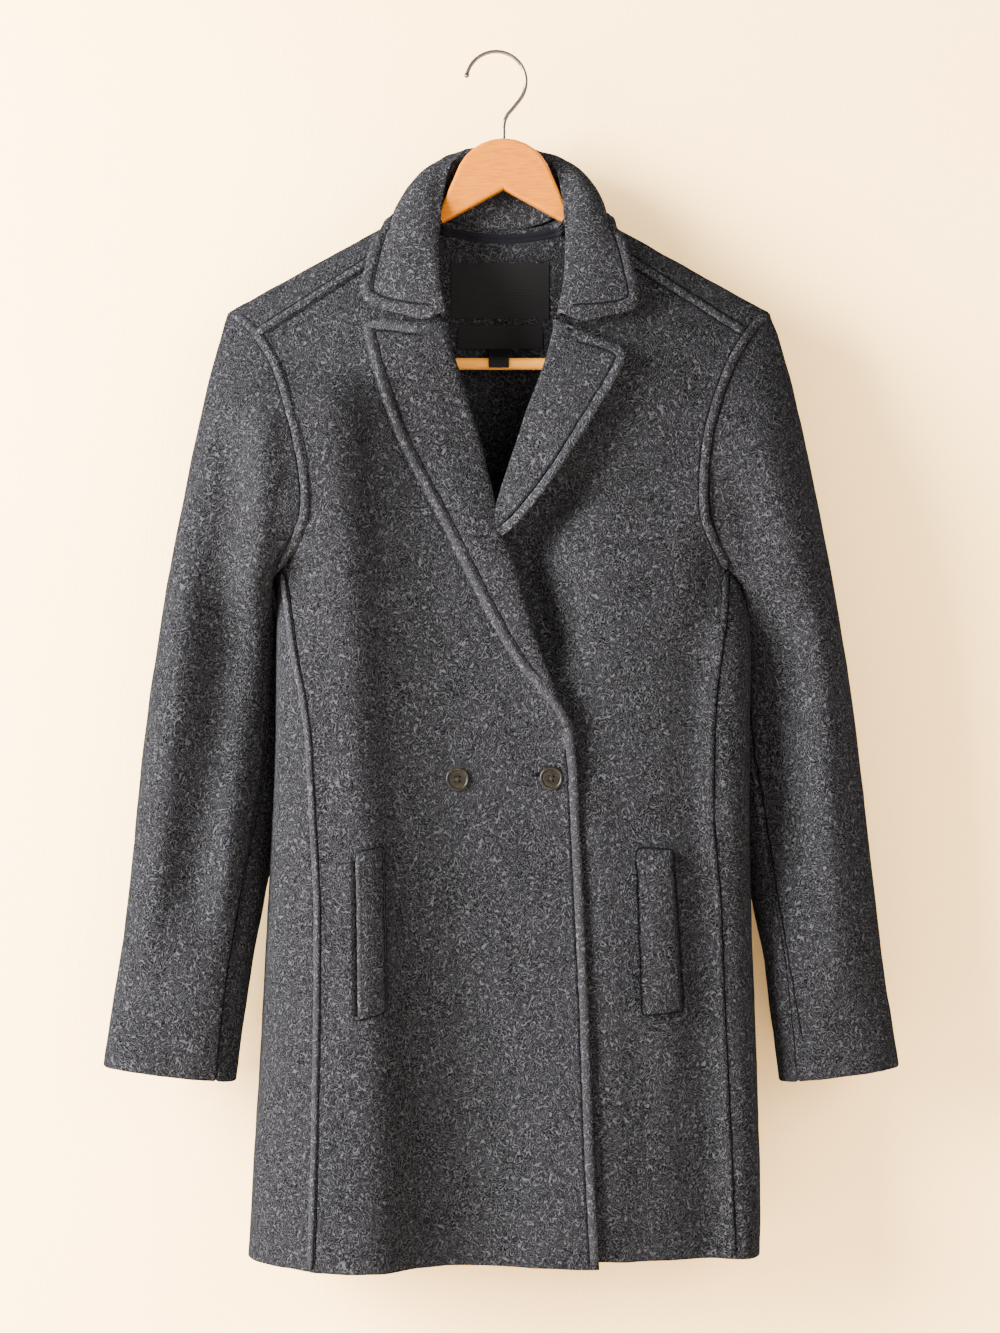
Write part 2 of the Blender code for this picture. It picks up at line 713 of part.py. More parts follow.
def armhole_loop(side_name):
    """The armhole from the shoulder point down the front, under the arm and up the back.

    Gives the three stretches, each as points with the body's outward direction there.
    """
    front = []
    for z in FRONT_ARMHOLE_ROWS:
        x = float(interpolate(ARMHOLE, ARMHOLE_COLUMNS, side_name, z))
        if z == FRONT_ARMHOLE_ROWS[0]:
            front.append((np.array([x, 0.0, z]), np.array([0.0, 0.0, 1.0])))
            continue
        front.append((np.array([x, front_y(x, z), z]), surface_normal(-1, x, z)))
    under = list(zip(*underarm_line(side_name)))
    back = [(under[-1][0], under[-1][1])]
    for z in BACK_ARMHOLE_ROWS:
        x = float(interpolate(BACK_ARMHOLE, ARMHOLE_COLUMNS, side_name, z))
        back.append((np.array([x, back_y(x, z), z]), surface_normal(1, x, z)))
    back[-1] = front[0]
    return front, under, back


def sleeve_curve(ring, angle, side_sign):
    """Outer point of a sleeve ring: angle 0 at the outer end, a half turn at the inner end."""
    named = dict(zip(SLEEVE_COLUMNS, ring))
    outer = np.array([named["out_x"], named["out_z"]], dtype=float)
    inner = np.array([named["in_x"], named["in_z"]], dtype=float)
    middle = (outer + inner) / 2
    half = (outer - inner) / 2
    to_body = np.array([half[1], -half[0]])
    to_body /= np.linalg.norm(to_body)
    if to_body[0] * side_sign > 0:
        to_body = -to_body
    cosine = math.copysign(abs(math.cos(angle)) ** SLEEVE_ROUND, math.cos(angle))
    sine = math.copysign(abs(math.sin(angle)) ** SLEEVE_ROUND, math.sin(angle))
    x, z = middle + half * cosine + to_body * named["bow"] * abs(math.sin(angle))
    return np.array([x, named["mid_y"] - named["depth"] * sine, z])


def sleeve_rings(side_name, table):
    """Every ring of a sleeve as three stretches: front, under and back."""
    side_sign = -1 if side_name == "left" else 1
    loop = armhole_loop(side_name)
    counts = [len(stretch) for stretch in loop]
    rings = []
    for index, ring in enumerate(table):
        named = dict(zip(SLEEVE_COLUMNS, ring))
        front_end = math.pi - math.radians(named["front_seam"])
        back_start = math.pi + math.radians(named["back_seam"])
        spans = ((0.0, front_end), (front_end, back_start), (back_start, 2 * math.pi))
        share = smooth(0.0, FAN_IN_RINGS, float(index))
        stretches = []
        for (start, end), count, seam in zip(spans, counts, loop):
            lengths = [0.0]
            for (a, _), (b, _) in zip(seam, seam[1:]):
                lengths.append(lengths[-1] + float(np.linalg.norm(b - a)))
            places = [length / lengths[-1] for length in lengths]
            stretch = []
            for i in range(count):
                even = i / (count - 1)
                place = places[i] * (1 - share) + even * share
                ideal = sleeve_curve(ring, start + (end - start) * place, side_sign)
                first = seam[i][0]
                away = sleeve_curve(table[0], start + (end - start) * place, side_sign)
                stretch.append(ideal + (first - away) * (1 - share) if index else first.copy())
            stretches.append(stretch)
        rings.append(stretches)
    return rings, loop


def sleeve(side_name, table, top_name, under_name, finish):
    """Top sleeve and under sleeve, from the armhole to the cuff."""
    side_sign = -1 if side_name == "left" else 1
    rings, loop = sleeve_rings(side_name, table)
    closed = [front + under[1:] + back[1:-1] for front, under, back in rings]
    seam_normals = [n for _, n in loop[0]] + [n for _, n in loop[1][1:]] + [n for _, n in loop[2][1:-1]]
    away_from_body = seam_directions(closed[0], seam_normals, side_sign)
    count = len(closed[0])
    walls = []
    for index, points in enumerate(closed):
        after = closed[min(index + 1, len(closed) - 1)]
        before = closed[max(index - 1, 0)]
        row = []
        for i in range(count):
            around = points[(i + 1) % count] - points[i - 1]
            down = after[i] - before[i]
            normal = np.cross(around, down) * side_sign
            normal /= np.linalg.norm(normal)
            outer = points[i]
            if index == 0:
                normal = seam_normals[i]
                outer = outer + away_from_body[i] * ARMHOLE_GAP
            row.append((outer, outer - normal * WALL))
        walls.append(row)
    front_count = len(loop[0])
    under_count = len(loop[1])
    under_slice = [front_count - 1 + i for i in range(under_count)]
    top_slice = [(front_count + under_count - 2 + i) % count for i in range(count - under_count + 2)]
    for name, chosen in ((top_name, top_slice), (under_name, under_slice)):
        rows = []
        for index, row in enumerate(walls):
            gap = SEAM_GAP if index else SLEEVE_CORNER_GAP
            outer = shortened([row[i][0] for i in chosen], gap)
            inner = shortened([row[i][1] for i in chosen], gap)
            rows.append((outer, inner))
        cloth(name, rows, finish)


def ribbon_row(mid, wall, raised):
    """Outer and inner points, in its own plane, of a bent wall whose middle line is given."""
    mid = np.asarray(mid, dtype=float)
    outer = []
    inner = []
    for i, point in enumerate(mid):
        tangent = mid[min(i + 1, len(mid) - 1)] - mid[max(i - 1, 0)]
        normal = np.array([-tangent[1], tangent[0]])
        normal /= np.linalg.norm(normal)
        outer.append(point + normal * (wall / 2 + raised[i]))
        inner.append(point - normal * wall / 2)
    return outer, inner


def lapel_section(width):
    """Middle line of the facing across a lapel: place out from the roll line, height over the front."""
    strip = min(EDGE_WIDTH, width * LAPEL_EDGE_SHARE)
    room = max(width - strip - WELT_SLOPE, LAPEL_LEAST)
    crown = LAPEL_CROWN * min(1.0, width / LAPEL_FULL_WIDTH)
    line = list(LAPEL_HOOK)
    for share in LAPEL_SHARES:
        place = LAPEL_START + (room - LAPEL_START) * share
        line.append((place, LAPEL_LIFT + crown * math.sin(math.pi * share)))
    line += [(room + WELT_SLOPE, LAPEL_LIFT), (room + WELT_SLOPE + strip, LAPEL_LIFT)]
    lift = EDGE_LIFT * min(1.0, width / LAPEL_RAISED_WIDTH)
    raised = [0.0] * (len(line) - 2) + [lift, lift]
    return line, raised


def lapel(name, table, top_edge, under, finish):
    """The facing: a hook inside the roll line, round it, and out over the front to the lapel's edge."""
    sign = 1 if under else -1
    rows = []
    samples = list(table) + [table[-1]]
    for index, (roll_x, roll_z, edge_x, edge_z) in enumerate(samples):
        roll = np.array([roll_x, roll_z], dtype=float)
        edge = np.array([edge_x, edge_z], dtype=float)
        width = float(np.linalg.norm(edge - roll))
        out = (edge - roll) / width
        if width < LAPEL_NARROW:
            out = np.array([sign * LAPEL_POINT[0], LAPEL_POINT[1]])
        line, raised = lapel_section(width)
        at_top = index == len(samples) - 1
        row = []
        for points in ribbon_row(line, LAPEL_WALL, raised):
            solid = []
            for place, height in points:
                across = min(max(place / width, 0.0), 1.0)
                rise = np.interp(across, *zip(*top_edge)) if at_top else 0.0
                x, z = roll + out * place + np.array([0.0, rise])
                base_x = x if place > 0 else roll[0]
                y = float(front_y(base_x, z))
                if under:
                    y += float(under_offset(base_x, z))
                normal = surface_normal(-1, base_x, z)
                solid.append(np.array([x, y, z]) + normal * height)
            row.append(solid)
        rows.append(tuple(row))
    return cloth(name, rows, finish)


def smooth_through(points, steps):
    """A smooth curve through a few points, spaced evenly from the first to the last."""
    points = [np.asarray(p, dtype=float) for p in points]
    padded = [2 * points[0] - points[1]] + points + [2 * points[-1] - points[-2]]
    curve = []
    spans = len(points) - 1
    for step in range(steps):
        place = step / (steps - 1) * spans
        index = min(int(place), spans - 1)
        t = place - index
        a, b, c, d = padded[index:index + 4]
        square = 2 * a - 5 * b + 4 * c - d
        cube = 3 * b - a - 3 * c + d
        curve.append(0.5 * (2 * b + (c - a) * t + square * t * t + cube * t ** 3))
    return curve


def collar_line(station, sign, fullness):
    """Middle line of the collar at a station: up the stand, over the roll and down the fall."""
    roll = np.array(station[0:3], dtype=float)
    foot_x, foot_side, foot_z = station[3:6]
    foot = np.array([foot_x, 0.0, float(ridge_z(foot_x)) - WALL / 2])
    if foot_side:
        foot = np.array([foot_x, float(surface_y(foot_side, foot_x, foot_z)), foot_z])
        foot -= surface_normal(foot_side, foot_x, foot_z) * WALL / 2
    edge = np.array(station[6:9], dtype=float)
    fall = edge - roll
    width = float(np.linalg.norm(fall))
    along = fall / width
    full = np.array([sign * fullness[0], fullness[1], fullness[2]], dtype=float)
    outward = full - along * np.dot(full, along)
    outward /= np.linalg.norm(outward)
    before, after, rise = COLLAR_ROLL
    line = [foot, (foot + roll) / 2, roll - along * before, roll + along * after + outward * rise]
    for share, height in COLLAR_CROWN:
        line.append(roll + fall * share + full * height)
    for back_from_edge, height in COLLAR_EDGE:
        line.append(edge - along * back_from_edge + outward * height)
    return line


def collar(name, finish):
    """Stand and fall in one wall round the neck."""
    over = [collar_line(station, -1, full) for station, full in zip(OVER_COLLAR, COLLAR_FULLNESS)]
    under = [collar_line(station, 1, full) for station, full in zip(UNDER_COLLAR, COLLAR_FULLNESS)]
    lines = over + under[::-1]
    for line in (lines[0], lines[-1]):
        for i, point in enumerate(line):
            point[2] += np.interp(i, *zip(*COLLAR_END_DROP))
    last = len(lines[0]) - 1
    rows = []
    for k, line in enumerate(lines):
        outer = []
        inner = []
        for i, here in enumerate(line):
            along = lines[min(k + 1, len(lines) - 1)][i] - lines[max(k - 1, 0)][i]
            across = line[min(i + 1, last)] - line[max(i - 1, 0)]
            normal = np.cross(along, across)
            normal /= np.linalg.norm(normal)
            lift = EDGE_LIFT if i >= last - 1 else 0.0
            outer.append(here + normal * (COLLAR_WALL / 2 + lift))
            inner.append(here - normal * COLLAR_WALL / 2)
        rows.append((outer, inner))
    return cloth(name, rows, finish)


def pocket_welt(name, corners, under, finish):
    """A narrow strip over the pocket's mouth, which follows the front it is sewn to."""
    top_left, top_right, bottom_right, bottom_left = [np.array(c, dtype=float) for c in corners]
    rows = []
    for row in range(POCKET_ROWS):
        down = row / (POCKET_ROWS - 1)
        left = top_left + (bottom_left - top_left) * down
        right = top_right + (bottom_right - top_right) * down
        outer = []
        inner = []
        for step in range(POCKET_STEPS):
            x, z = left + (right - left) * step / (POCKET_STEPS - 1)
            base = np.array([x, float(front_y(x, z)), z])
            if under:
                base[1] += float(under_offset(x, z))
            normal = surface_normal(-1, x, z)
            at_edge = step in (0, POCKET_STEPS - 1) or row in (0, POCKET_ROWS - 1)
            outer.append(base + normal * (POCKET_WELT_LIFT + (0.0 if at_edge else POCKET_CROWN)))
            inner.append(base + normal * POCKET_SEAT)
        rows.append((outer, inner))
    return cloth(name, rows, finish)


def button(name, place, finish):
    """A four-hole button with a raised rim, lying on the front."""
    x, z = place
    radius = BUTTON_RADIUS
    bm = bmesh.new()
    ring = [bm.verts.new((radius * share, 0.0, height)) for share, height in BUTTON_PROFILE]
    edges = [bm.edges.new(pair) for pair in zip(ring, ring[1:])]
    bmesh.ops.spin(
        bm, geom=ring + edges, cent=(0, 0, 0), axis=(0, 0, 1), angle=2 * math.pi,
        steps=BUTTON_SIDES, use_merge=True,
    )
    bmesh.ops.remove_doubles(bm, verts=bm.verts, dist=0.001)
    made = finish_object(name, bm, finish)
    for index in range(4):
        angle = math.pi / 4 + index * math.pi / 2
        reach = BUTTON_HOLE_REACH * MM
        bpy.ops.mesh.primitive_cylinder_add(
            vertices=8, radius=BUTTON_HOLE_RADIUS * MM, depth=BUTTON_CUTTER_LENGTH * MM,
            location=(reach * math.cos(angle), reach * math.sin(angle), 0),
        )
        cutter = bpy.context.object
        cutter.name = f"{name}_hole_cutter_{index}"
        cutter.hide_render = True
        cutter.display_type = "WIRE"
        hole = made.modifiers.new(f"hole_{index}", "BOOLEAN")
        hole.operation = "DIFFERENCE"
        hole.solver = "EXACT"
        hole.object = cutter
        cutter.parent = made
    normal = surface_normal(-1, x, z)
    seat = np.array([x, float(front_y(x, z)), z]) + normal * (BUTTON_SEAT - BUTTON_PROFILE[-1][1])
    made.rotation_mode = "QUATERNION"
    made.rotation_quaternion = Vector(normal).to_track_quat("Z", "Y")
    made.location = seat * MM
    return made


def label(name, middle_z, width, height, finish):
    """A flat woven label on the inside of the back."""
    back = float(back_y(LABEL_X, middle_z)) - WALL - LABEL_SEAT
    rows = []
    for z in np.linspace(middle_z - height / 2, middle_z + height / 2, LABEL_ROWS):
        xs = np.linspace(LABEL_X - width / 2, LABEL_X + width / 2, LABEL_STEPS)
        front = [np.array([x, back - LABEL_THICK, z]) for x in xs]
        behind = [np.array([x, back, z]) for x in xs]
        rows.append((front, behind))
    return cloth(name, rows, finish)


def size_tab(name, finish):
    """The small tab under the lower label, which comes forward over the hanger's bar."""
    rows = []
    line = smooth_through([(y, 0.0, z) for y, z in TAB_LINE], TAB_STEPS)
    for i, here in enumerate(line):
        tangent = line[min(i + 1, len(line) - 1)] - line[max(i - 1, 0)]
        normal = np.array([-tangent[2], 0.0, tangent[0]])
        normal /= np.linalg.norm(normal)
        xs = np.linspace(TAB_X - TAB_WIDTH / 2, TAB_X + TAB_WIDTH / 2, 3)
        sides = []
        for sign in (1, -1):
            y, _, z = here + normal * sign * TAB_THICK / 2
            sides.append([np.array([x, y, z]) for x in xs])
        rows.append(tuple(sides))
    return cloth(name, rows, finish)


def neck_tape(name, finish):
    """The bound seam across the inside of the back neck."""
    xs = np.linspace(MID_X - TAPE_HALF_WIDTH, MID_X + TAPE_HALF_WIDTH, TAPE_STEPS)
    rows = []
    for share in TAPE_SHARES:
        front = []
        behind = []
        for x in xs:
            dip = TAPE_DIP * (1 - ((x - MID_X) / TAPE_HALF_WIDTH) ** 2)
            z = TAPE_TOP_Z - dip - TAPE_HEIGHT * share
            y = float(back_y(x, z)) - WALL - LABEL_SEAT
            behind.append(np.array([x, y, z]))
            front.append(np.array([x, y - TAPE_THICK, z]))
        rows.append((front, behind))
    return cloth(name, rows, finish)


def arm_top(x):
    """Top edge of the hanger's arms, just under the shoulder ridge."""
    return float(ridge_z(x)) - ARM_DROP


def hanger_outline():
    """Front outline of the wooden hanger, clockwise from its left end."""
    left = []
    right = []
    for sign, side in ((-1, left), (1, right)):
        end_x = HANGER_X + sign * ARM_END
        side += [(end_x + sign * out, BAR_Z + up) for out, up in ARM_FOOT]
        for out, drop in ARM_TIP:
            x = end_x + sign * out
            side.append((x, arm_top(x) - drop))
        for reach in ARM_REACHES:
            side.append((HANGER_X + sign * reach, arm_top(HANGER_X + sign * reach)))
        side += [(HANGER_X + sign * reach, z) for reach, z in ARCH_SHOULDER]
        for degrees in ARCH_DEGREES:
            angle = math.radians(degrees)
            x = HANGER_X + sign * ARCH_RADIUS * math.sin(angle)
            side.append((x, ARCH_TOP_Z - ARCH_RADIUS * (1 - math.cos(angle))))
    top = [(HANGER_X, ARCH_TOP_Z)]
    low_right = [(HANGER_X + reach, NOTCH_Z - NOTCH_SLOPE * reach) for reach in NOTCH_REACHES[::-1]]
    low_left = [(HANGER_X - reach, NOTCH_Z - NOTCH_SLOPE * reach) for reach in NOTCH_REACHES]
    return left + top + right[::-1] + low_right + [(HANGER_X, NOTCH_Z)] + low_left


def hanger_body(name, finish):
    """Flat wooden hanger with a rounded neck, two arms and an end on each that holds the bar."""
    bm = bmesh.new()
    corners = [bm.verts.new((x, -WOOD_HALF, z)) for x, z in hanger_outline()]
    face = bm.faces.new(corners)
    grown = bmesh.ops.extrude_face_region(bm, geom=[face])
    moved = [item for item in grown["geom"] if isinstance(item, bmesh.types.BMVert)]
    bmesh.ops.translate(bm, verts=moved, vec=(0, 2 * WOOD_HALF, 0))
    rim = [edge for edge in bm.edges if abs(edge.verts[0].co.y - edge.verts[1].co.y) < SAME_FACE]
    bmesh.ops.bevel(
        bm, geom=rim, offset=WOOD_EDGE, offset_type="OFFSET", affect="EDGES", segments=2, profile=0.5,
        material=-1,
    )
    made = finish_object(name, bm, finish, 30.0)
    bpy.ops.mesh.primitive_cylinder_add(
        vertices=16, radius=(WIRE_RADIUS + HOOK_HOLE_PLAY) * MM, depth=HOOK_CUTTER_LENGTH * MM,
        location=(HANGER_X * MM, 0, (ARCH_TOP_Z - HOOK_HOLE_DEPTH + HOOK_CUTTER_LENGTH / 2) * MM),
    )
    cutter = bpy.context.object
    cutter.name = f"{name}_hook_hole_cutter"
    cutter.hide_render = True
    cutter.display_type = "WIRE"
    hole = made.modifiers.new("hook_hole", "BOOLEAN")
    hole.operation = "DIFFERENCE"
    hole.solver = "EXACT"
    hole.object = cutter
    return made


def hanger_bar(name, finish):
    """The round bar between the ends of the arms."""
    length = 2 * (ARM_END - BAR_INSET) - 2 * SEAM_GAP
    bpy.ops.mesh.primitive_cylinder_add(
        vertices=BAR_SIDES, radius=BAR_RADIUS * MM, depth=length * MM,
        location=(HANGER_X * MM, 0, BAR_Z * MM), rotation=(0, math.pi / 2, 0),
    )
    made = bpy.context.object
    made.name = name
    made.data.materials.append(finish)
    made.data.shade_smooth()
    made.data.set_sharp_from_angle(angle=math.radians(40))
    return made


def hook_route():
    """Middle line of the hook from its tip over the top and down into the wood."""
    middle_z = -(HOOK_RADIUS - WIRE_RADIUS)
    arc = []
    for degrees in np.arange(HOOK_TIP_ANGLE, HOOK_END_ANGLE - 1, -HOOK_STEP):
        angle = math.radians(degrees)
        arc.append((HOOK_X + HOOK_RADIUS * math.cos(angle), middle_z + HOOK_RADIUS * math.sin(angle)))
    shank = [(HANGER_X, ARCH_TOP_Z - HOOK_HOLE_DEPTH + HOOK_END_ROOM)]
    return arc + list(HOOK_NECK) + shank


def hanger_hook(name, finish):
    """Bent steel wire with a small ball at its tip."""
    route = [np.array(place) for place in hook_route()]
    tip = route[0]
    inward = (route[1] - tip) / np.linalg.norm(route[1] - tip)
    stations = [(tip + inward * along, size * WIRE_RADIUS) for along, size in HOOK_BALL]
    stations += [(place, WIRE_RADIUS) for place in route[1:]]
    bm = bmesh.new()
    rings = []
    for i, (place, radius) in enumerate(stations):
        along = stations[min(i + 1, len(stations) - 1)][0] - stations[max(i - 1, 0)][0]
        along /= np.linalg.norm(along)
        aside = np.array([-along[1], along[0]])
        ring = []
        for side in range(HOOK_SIDES):
            angle = 2 * math.pi * side / HOOK_SIDES
            x, z = place + aside * radius * math.cos(angle)
            ring.append(bm.verts.new((x, radius * math.sin(angle), z)))
        rings.append(ring)
    for ring, following in zip(rings, rings[1:]):
        for i in range(HOOK_SIDES):
            j = (i + 1) % HOOK_SIDES
            bm.faces.new((ring[i], ring[j], following[j], following[i]))
    bm.faces.new(rings[0])
    bm.faces.new(rings[-1])
    return finish_object(name, bm, finish, 60.0)


def clear_scene():
    for old in list(bpy.data.objects):
        bpy.data.objects.remove(old, do_unlink=True)


def main():
    clear_scene()
    wool = material("boiled_wool", (0.09, 0.09, 0.095), 0.95)
    satin = material("black_satin", (0.015, 0.014, 0.015), 0.5)
    tape = material("cotton_tape", (0.03, 0.03, 0.04), 0.9)
    horn = material("dark_horn", (0.12, 0.10, 0.08), 0.35)
    wood = material("lacquered_beech", (0.80, 0.45, 0.22), 0.4)
    steel = material("polished_steel", (0.6, 0.6, 0.6), 0.2, 1.0)
    front_panel("right_front", "over", "left", wool)
    front_panel("left_front", "under", "right", wool)
    side_panel("right_side", "left", wool)
    side_panel("left_side", "right", wool)
    back_panel("right_back", "left", wool)
    back_panel("left_back", "right", wool)
    sleeve("left", LEFT_SLEEVE, "right_top_sleeve", "right_under_sleeve", wool)
    sleeve("right", RIGHT_SLEEVE, "left_top_sleeve", "left_under_sleeve", wool)
    lapel("right_lapel", OVER_LAPEL, OVER_LAPEL_TOP, False, wool)
    lapel("left_lapel", UNDER_LAPEL, UNDER_LAPEL_TOP, True, wool)
    collar("collar", wool)
    pocket_welt("right_pocket_welt", OVER_POCKET, False, wool)
    pocket_welt("left_pocket_welt", UNDER_POCKET, True, wool)
    button("button_inner", BUTTON_INNER, horn)
    button("button_outer", BUTTON_OUTER, horn)
    neck_tape("neck_tape", tape)
    label("main_label", *MAIN_LABEL, satin)
    label("small_label", *SMALL_LABEL, satin)
    size_tab("size_tab", satin)
    hanger_body("hanger_body", wood)
    hanger_bar("hanger_bar", wood)
    hanger_hook("hanger_hook", steel)


main()
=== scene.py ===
"""A grey boiled-wool coat on a wooden hanger: looks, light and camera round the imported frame."""

import math

import bmesh
import bpy
import numpy as np
from mathutils import Matrix, Vector, noise
from mathutils.bvhtree import BVHTree


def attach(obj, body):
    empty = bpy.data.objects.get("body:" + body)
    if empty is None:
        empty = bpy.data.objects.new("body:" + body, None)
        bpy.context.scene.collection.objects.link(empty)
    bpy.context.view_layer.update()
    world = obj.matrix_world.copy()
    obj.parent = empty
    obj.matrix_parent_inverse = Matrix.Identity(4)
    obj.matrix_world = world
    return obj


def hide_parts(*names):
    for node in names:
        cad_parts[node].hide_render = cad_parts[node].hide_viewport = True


MM = 0.001
ROOT = "root"

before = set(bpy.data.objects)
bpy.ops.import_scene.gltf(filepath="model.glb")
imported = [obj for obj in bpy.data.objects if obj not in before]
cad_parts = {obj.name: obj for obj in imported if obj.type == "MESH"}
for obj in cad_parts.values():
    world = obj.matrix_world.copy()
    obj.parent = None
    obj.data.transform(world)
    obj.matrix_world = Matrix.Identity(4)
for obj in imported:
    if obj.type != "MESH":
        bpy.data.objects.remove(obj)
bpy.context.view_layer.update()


def linear(hex_colour):
    """An sRGB hex colour as linear values."""
    values = [int(hex_colour[i:i + 2], 16) / 255 for i in (1, 3, 5)]
    return [v / 12.92 if v <= 0.04045 else ((v + 0.055) / 1.055) ** 2.4 for v in values] + [1.0]


def per_mm(size):
    """The noise scale whose features are about that many millimetres across."""
    return 1.0 / (size * MM)


def add(tree, kind, inputs=None, stops=(), **settings):
    """Adds a node with its settings and its (place, hex colour) stops, and links or sets its inputs."""
    node = tree.nodes.new(kind)
    for name, value in settings.items():
        setattr(node, name, value)
    for socket, value in (inputs or {}).items():
        if isinstance(value, bpy.types.NodeSocket):
            tree.links.new(value, node.inputs[socket])
        else:
            node.inputs[socket].default_value = value
    if stops:
        elements = node.color_ramp.elements
        while len(elements) < len(stops):
            elements.new(0.5)
        for element, (place, colour) in zip(elements, stops):
            element.position = place
            element.color = linear(colour)
    return node


def new_material(name):
    """A material with its tree, its shader and its object coordinates."""
    made = bpy.data.materials.new(name)
    made.use_nodes = True
    tree = made.node_tree
    shader = tree.nodes["Principled BSDF"]
    place = add(tree, "ShaderNodeTexCoord").outputs["Object"]
    return made, tree, shader, place


def finish_material(tree, shader, colour, rough, height, depth, gleam=0.5):
    """Links colour and bump to a shader, and sets how rough its face is and how much it reflects."""
    tree.links.new(colour, shader.inputs["Base Color"])
    shader.inputs["Roughness"].default_value = rough
    shader.inputs["Specular IOR Level"].default_value = gleam
    bump = add(tree, "ShaderNodeBump", {"Strength": 1.0, "Distance": depth, "Height": height})
    tree.links.new(bump.outputs["Normal"], shader.inputs["Normal"])


def patches(tree, place, size, low, high, shift=(0.0, 0.0, 0.0)):
    """Soft patches from 0 to 1, of that size in millimetres."""
    moved = add(tree, "ShaderNodeMapping", {"Vector": place, "Location": shift})
    field = add(tree, "ShaderNodeTexNoise", {
        "Vector": moved.outputs["Vector"], "Scale": per_mm(size), "Detail": 1.0,
    })
    spread = add(tree, "ShaderNodeMapRange", {
        "Value": field.outputs["Fac"], "From Min": low, "From Max": high,
    }, interpolation_type="SMOOTHSTEP")
    return spread.outputs["Result"]


def matted_curls(tree, place, swell, turns, thin, shift, patch, low, high, patch_shift):
    """Close-packed wriggling lines that lie in patches: the level lines of a smooth noise, with that many to
    each of its swells."""
    moved = add(tree, "ShaderNodeMapping", {"Vector": place, "Location": shift})
    field = add(tree, "ShaderNodeTexNoise", {
        "Vector": moved.outputs["Vector"], "Scale": per_mm(swell), "Detail": 1.0, "Roughness": 0.4,
    })
    turned = add(tree, "ShaderNodeMath", {
        0: field.outputs["Fac"], 1: turns * 2 * math.pi,
    }, operation="MULTIPLY")
    wave = add(tree, "ShaderNodeMath", {0: turned.outputs[0]}, operation="COSINE")
    line = add(tree, "ShaderNodeMapRange", {
        "Value": wave.outputs[0], "From Min": thin, "From Max": 1.0,
    }, interpolation_type="SMOOTHSTEP")
    held = patches(tree, place, patch, low, high, patch_shift)
    return add(tree, "ShaderNodeMath", {0: line.outputs["Result"], 1: held}, operation="MULTIPLY").outputs[0]


# Layers of curled fibre. The swells and patches are in millimetres. A swell has about as many curls across
# it as its turns, so the curls lie about 1 mm apart, as in felted knitting. Single fibres are too fine to
# show.
CURL_LAYERS = (
    # swell, turns, thinness of a curl, shift, patch, where a patch starts and is full, shift of the patches
    (11.8, 12.0, 0.30, (0.0, 0.0, 0.0), 3.7, 0.40, 0.58, (0.7, 0.2, 0.1)),
    (9.1, 10.2, 0.35, (0.31, 0.17, 0.05), 3.1, 0.42, 0.60, (0.2, 0.9, 0.4)),
    (7.1, 9.3, 0.42, (0.11, 0.47, 0.23), 2.7, 0.46, 0.62, (0.5, 0.3, 0.8)),
)


def boiled_wool(name="boiled_wool_charcoal", highlight_share=0.0):
    """Boiled wool: knitted wool felted in hot water, so that loose curls of paler fibre lie matted on a dark
    ground. A painted highlight, by its share, makes the ground and the curls paler, for ridges and edges that
    catch the light."""
    made, tree, shader, place = new_material(name)
    curls = 0.0
    for layer in CURL_LAYERS:
        layer_curls = matted_curls(tree, place, *layer)
        curls = add(tree, "ShaderNodeMath", {0: curls, 1: layer_curls}, operation="MAXIMUM").outputs[0]
    cloudy = patches(tree, place, 22.0, 0.3, 0.7, (0.4, 0.4, 0.1))
    faintly = add(tree, "ShaderNodeMath", {0: cloudy, 1: 0.35}, operation="MULTIPLY").outputs[0]
    shown = add(tree, "ShaderNodeMath", {0: curls, 1: 0.85}, operation="MULTIPLY").outputs[0]
    tone = add(tree, "ShaderNodeValToRGB", {"Fac": patches(tree, place, 1.3, 0.3, 0.7)}, stops=(
        (0.0, "#030304"), (0.5, "#0d0d0e"), (1.0, "#1a1a1b"),
    )).outputs["Color"]
    # Painted highlight: for edges and welts that catch the light, the ground is mixed towards a paler grey
    # and the curls are drawn paler
    for share, over in (
        (faintly, "#161618"), (0.7 * highlight_share, "#1e1e20"), (shown, "#3a3a3d" if highlight_share else "#303033"),
    ):
        tone = add(tree, "ShaderNodeMix", {
            "Factor": share, 6: tone, 7: linear(over),
        }, data_type="RGBA").outputs[2]
    lint = patches(tree, place, 1.7, 0.2, 0.8)
    height = add(tree, "ShaderNodeMath", {0: lint, 1: 0.4, 2: curls}, operation="MULTIPLY_ADD").outputs[0]
    finish_material(tree, shader, tone, 1.0, height, 0.0009, gleam=0.0)
    shader.inputs["Sheen Weight"].default_value = 0.006
    shader.inputs["Sheen Roughness"].default_value = 0.5
    return made


def painted_shade_wool(name, deep, shallow):
    """Painted shade: the same wool drawn nearly black, for strips laid deep in a seam, along a row of
    stitches or in a pocket mouth, where the light hardly reaches.
    """
    made, tree, shader, place = new_material(name)
    fibres = patches(tree, place, 1.6, 0.3, 0.7)
    tone = add(tree, "ShaderNodeValToRGB", {"Fac": fibres}, stops=((0.0, deep), (1.0, shallow)))
    finish_material(tree, shader, tone.outputs["Color"], 1.0, fibres, 0.0003, gleam=0.0)
    return made


def sewing_thread():
    """Polyester button thread, twisted: dark taupe strands with a slight gleam. Its strands are drawn
    coarser than real ones, so that they show."""
    made, tree, shader, place = new_material("taupe_button_thread")
    strands = add(tree, "ShaderNodeTexNoise", {"Vector": place, "Scale": per_mm(0.5), "Detail": 1.0})
    tone = add(tree, "ShaderNodeValToRGB", {"Fac": strands.outputs["Fac"]}, stops=(
        (0.3, "#120d08"), (0.7, "#2b2216"),
    ))
    finish_material(tree, shader, tone.outputs["Color"], 0.6, strands.outputs["Fac"], 0.0001, gleam=0.1)
    return made


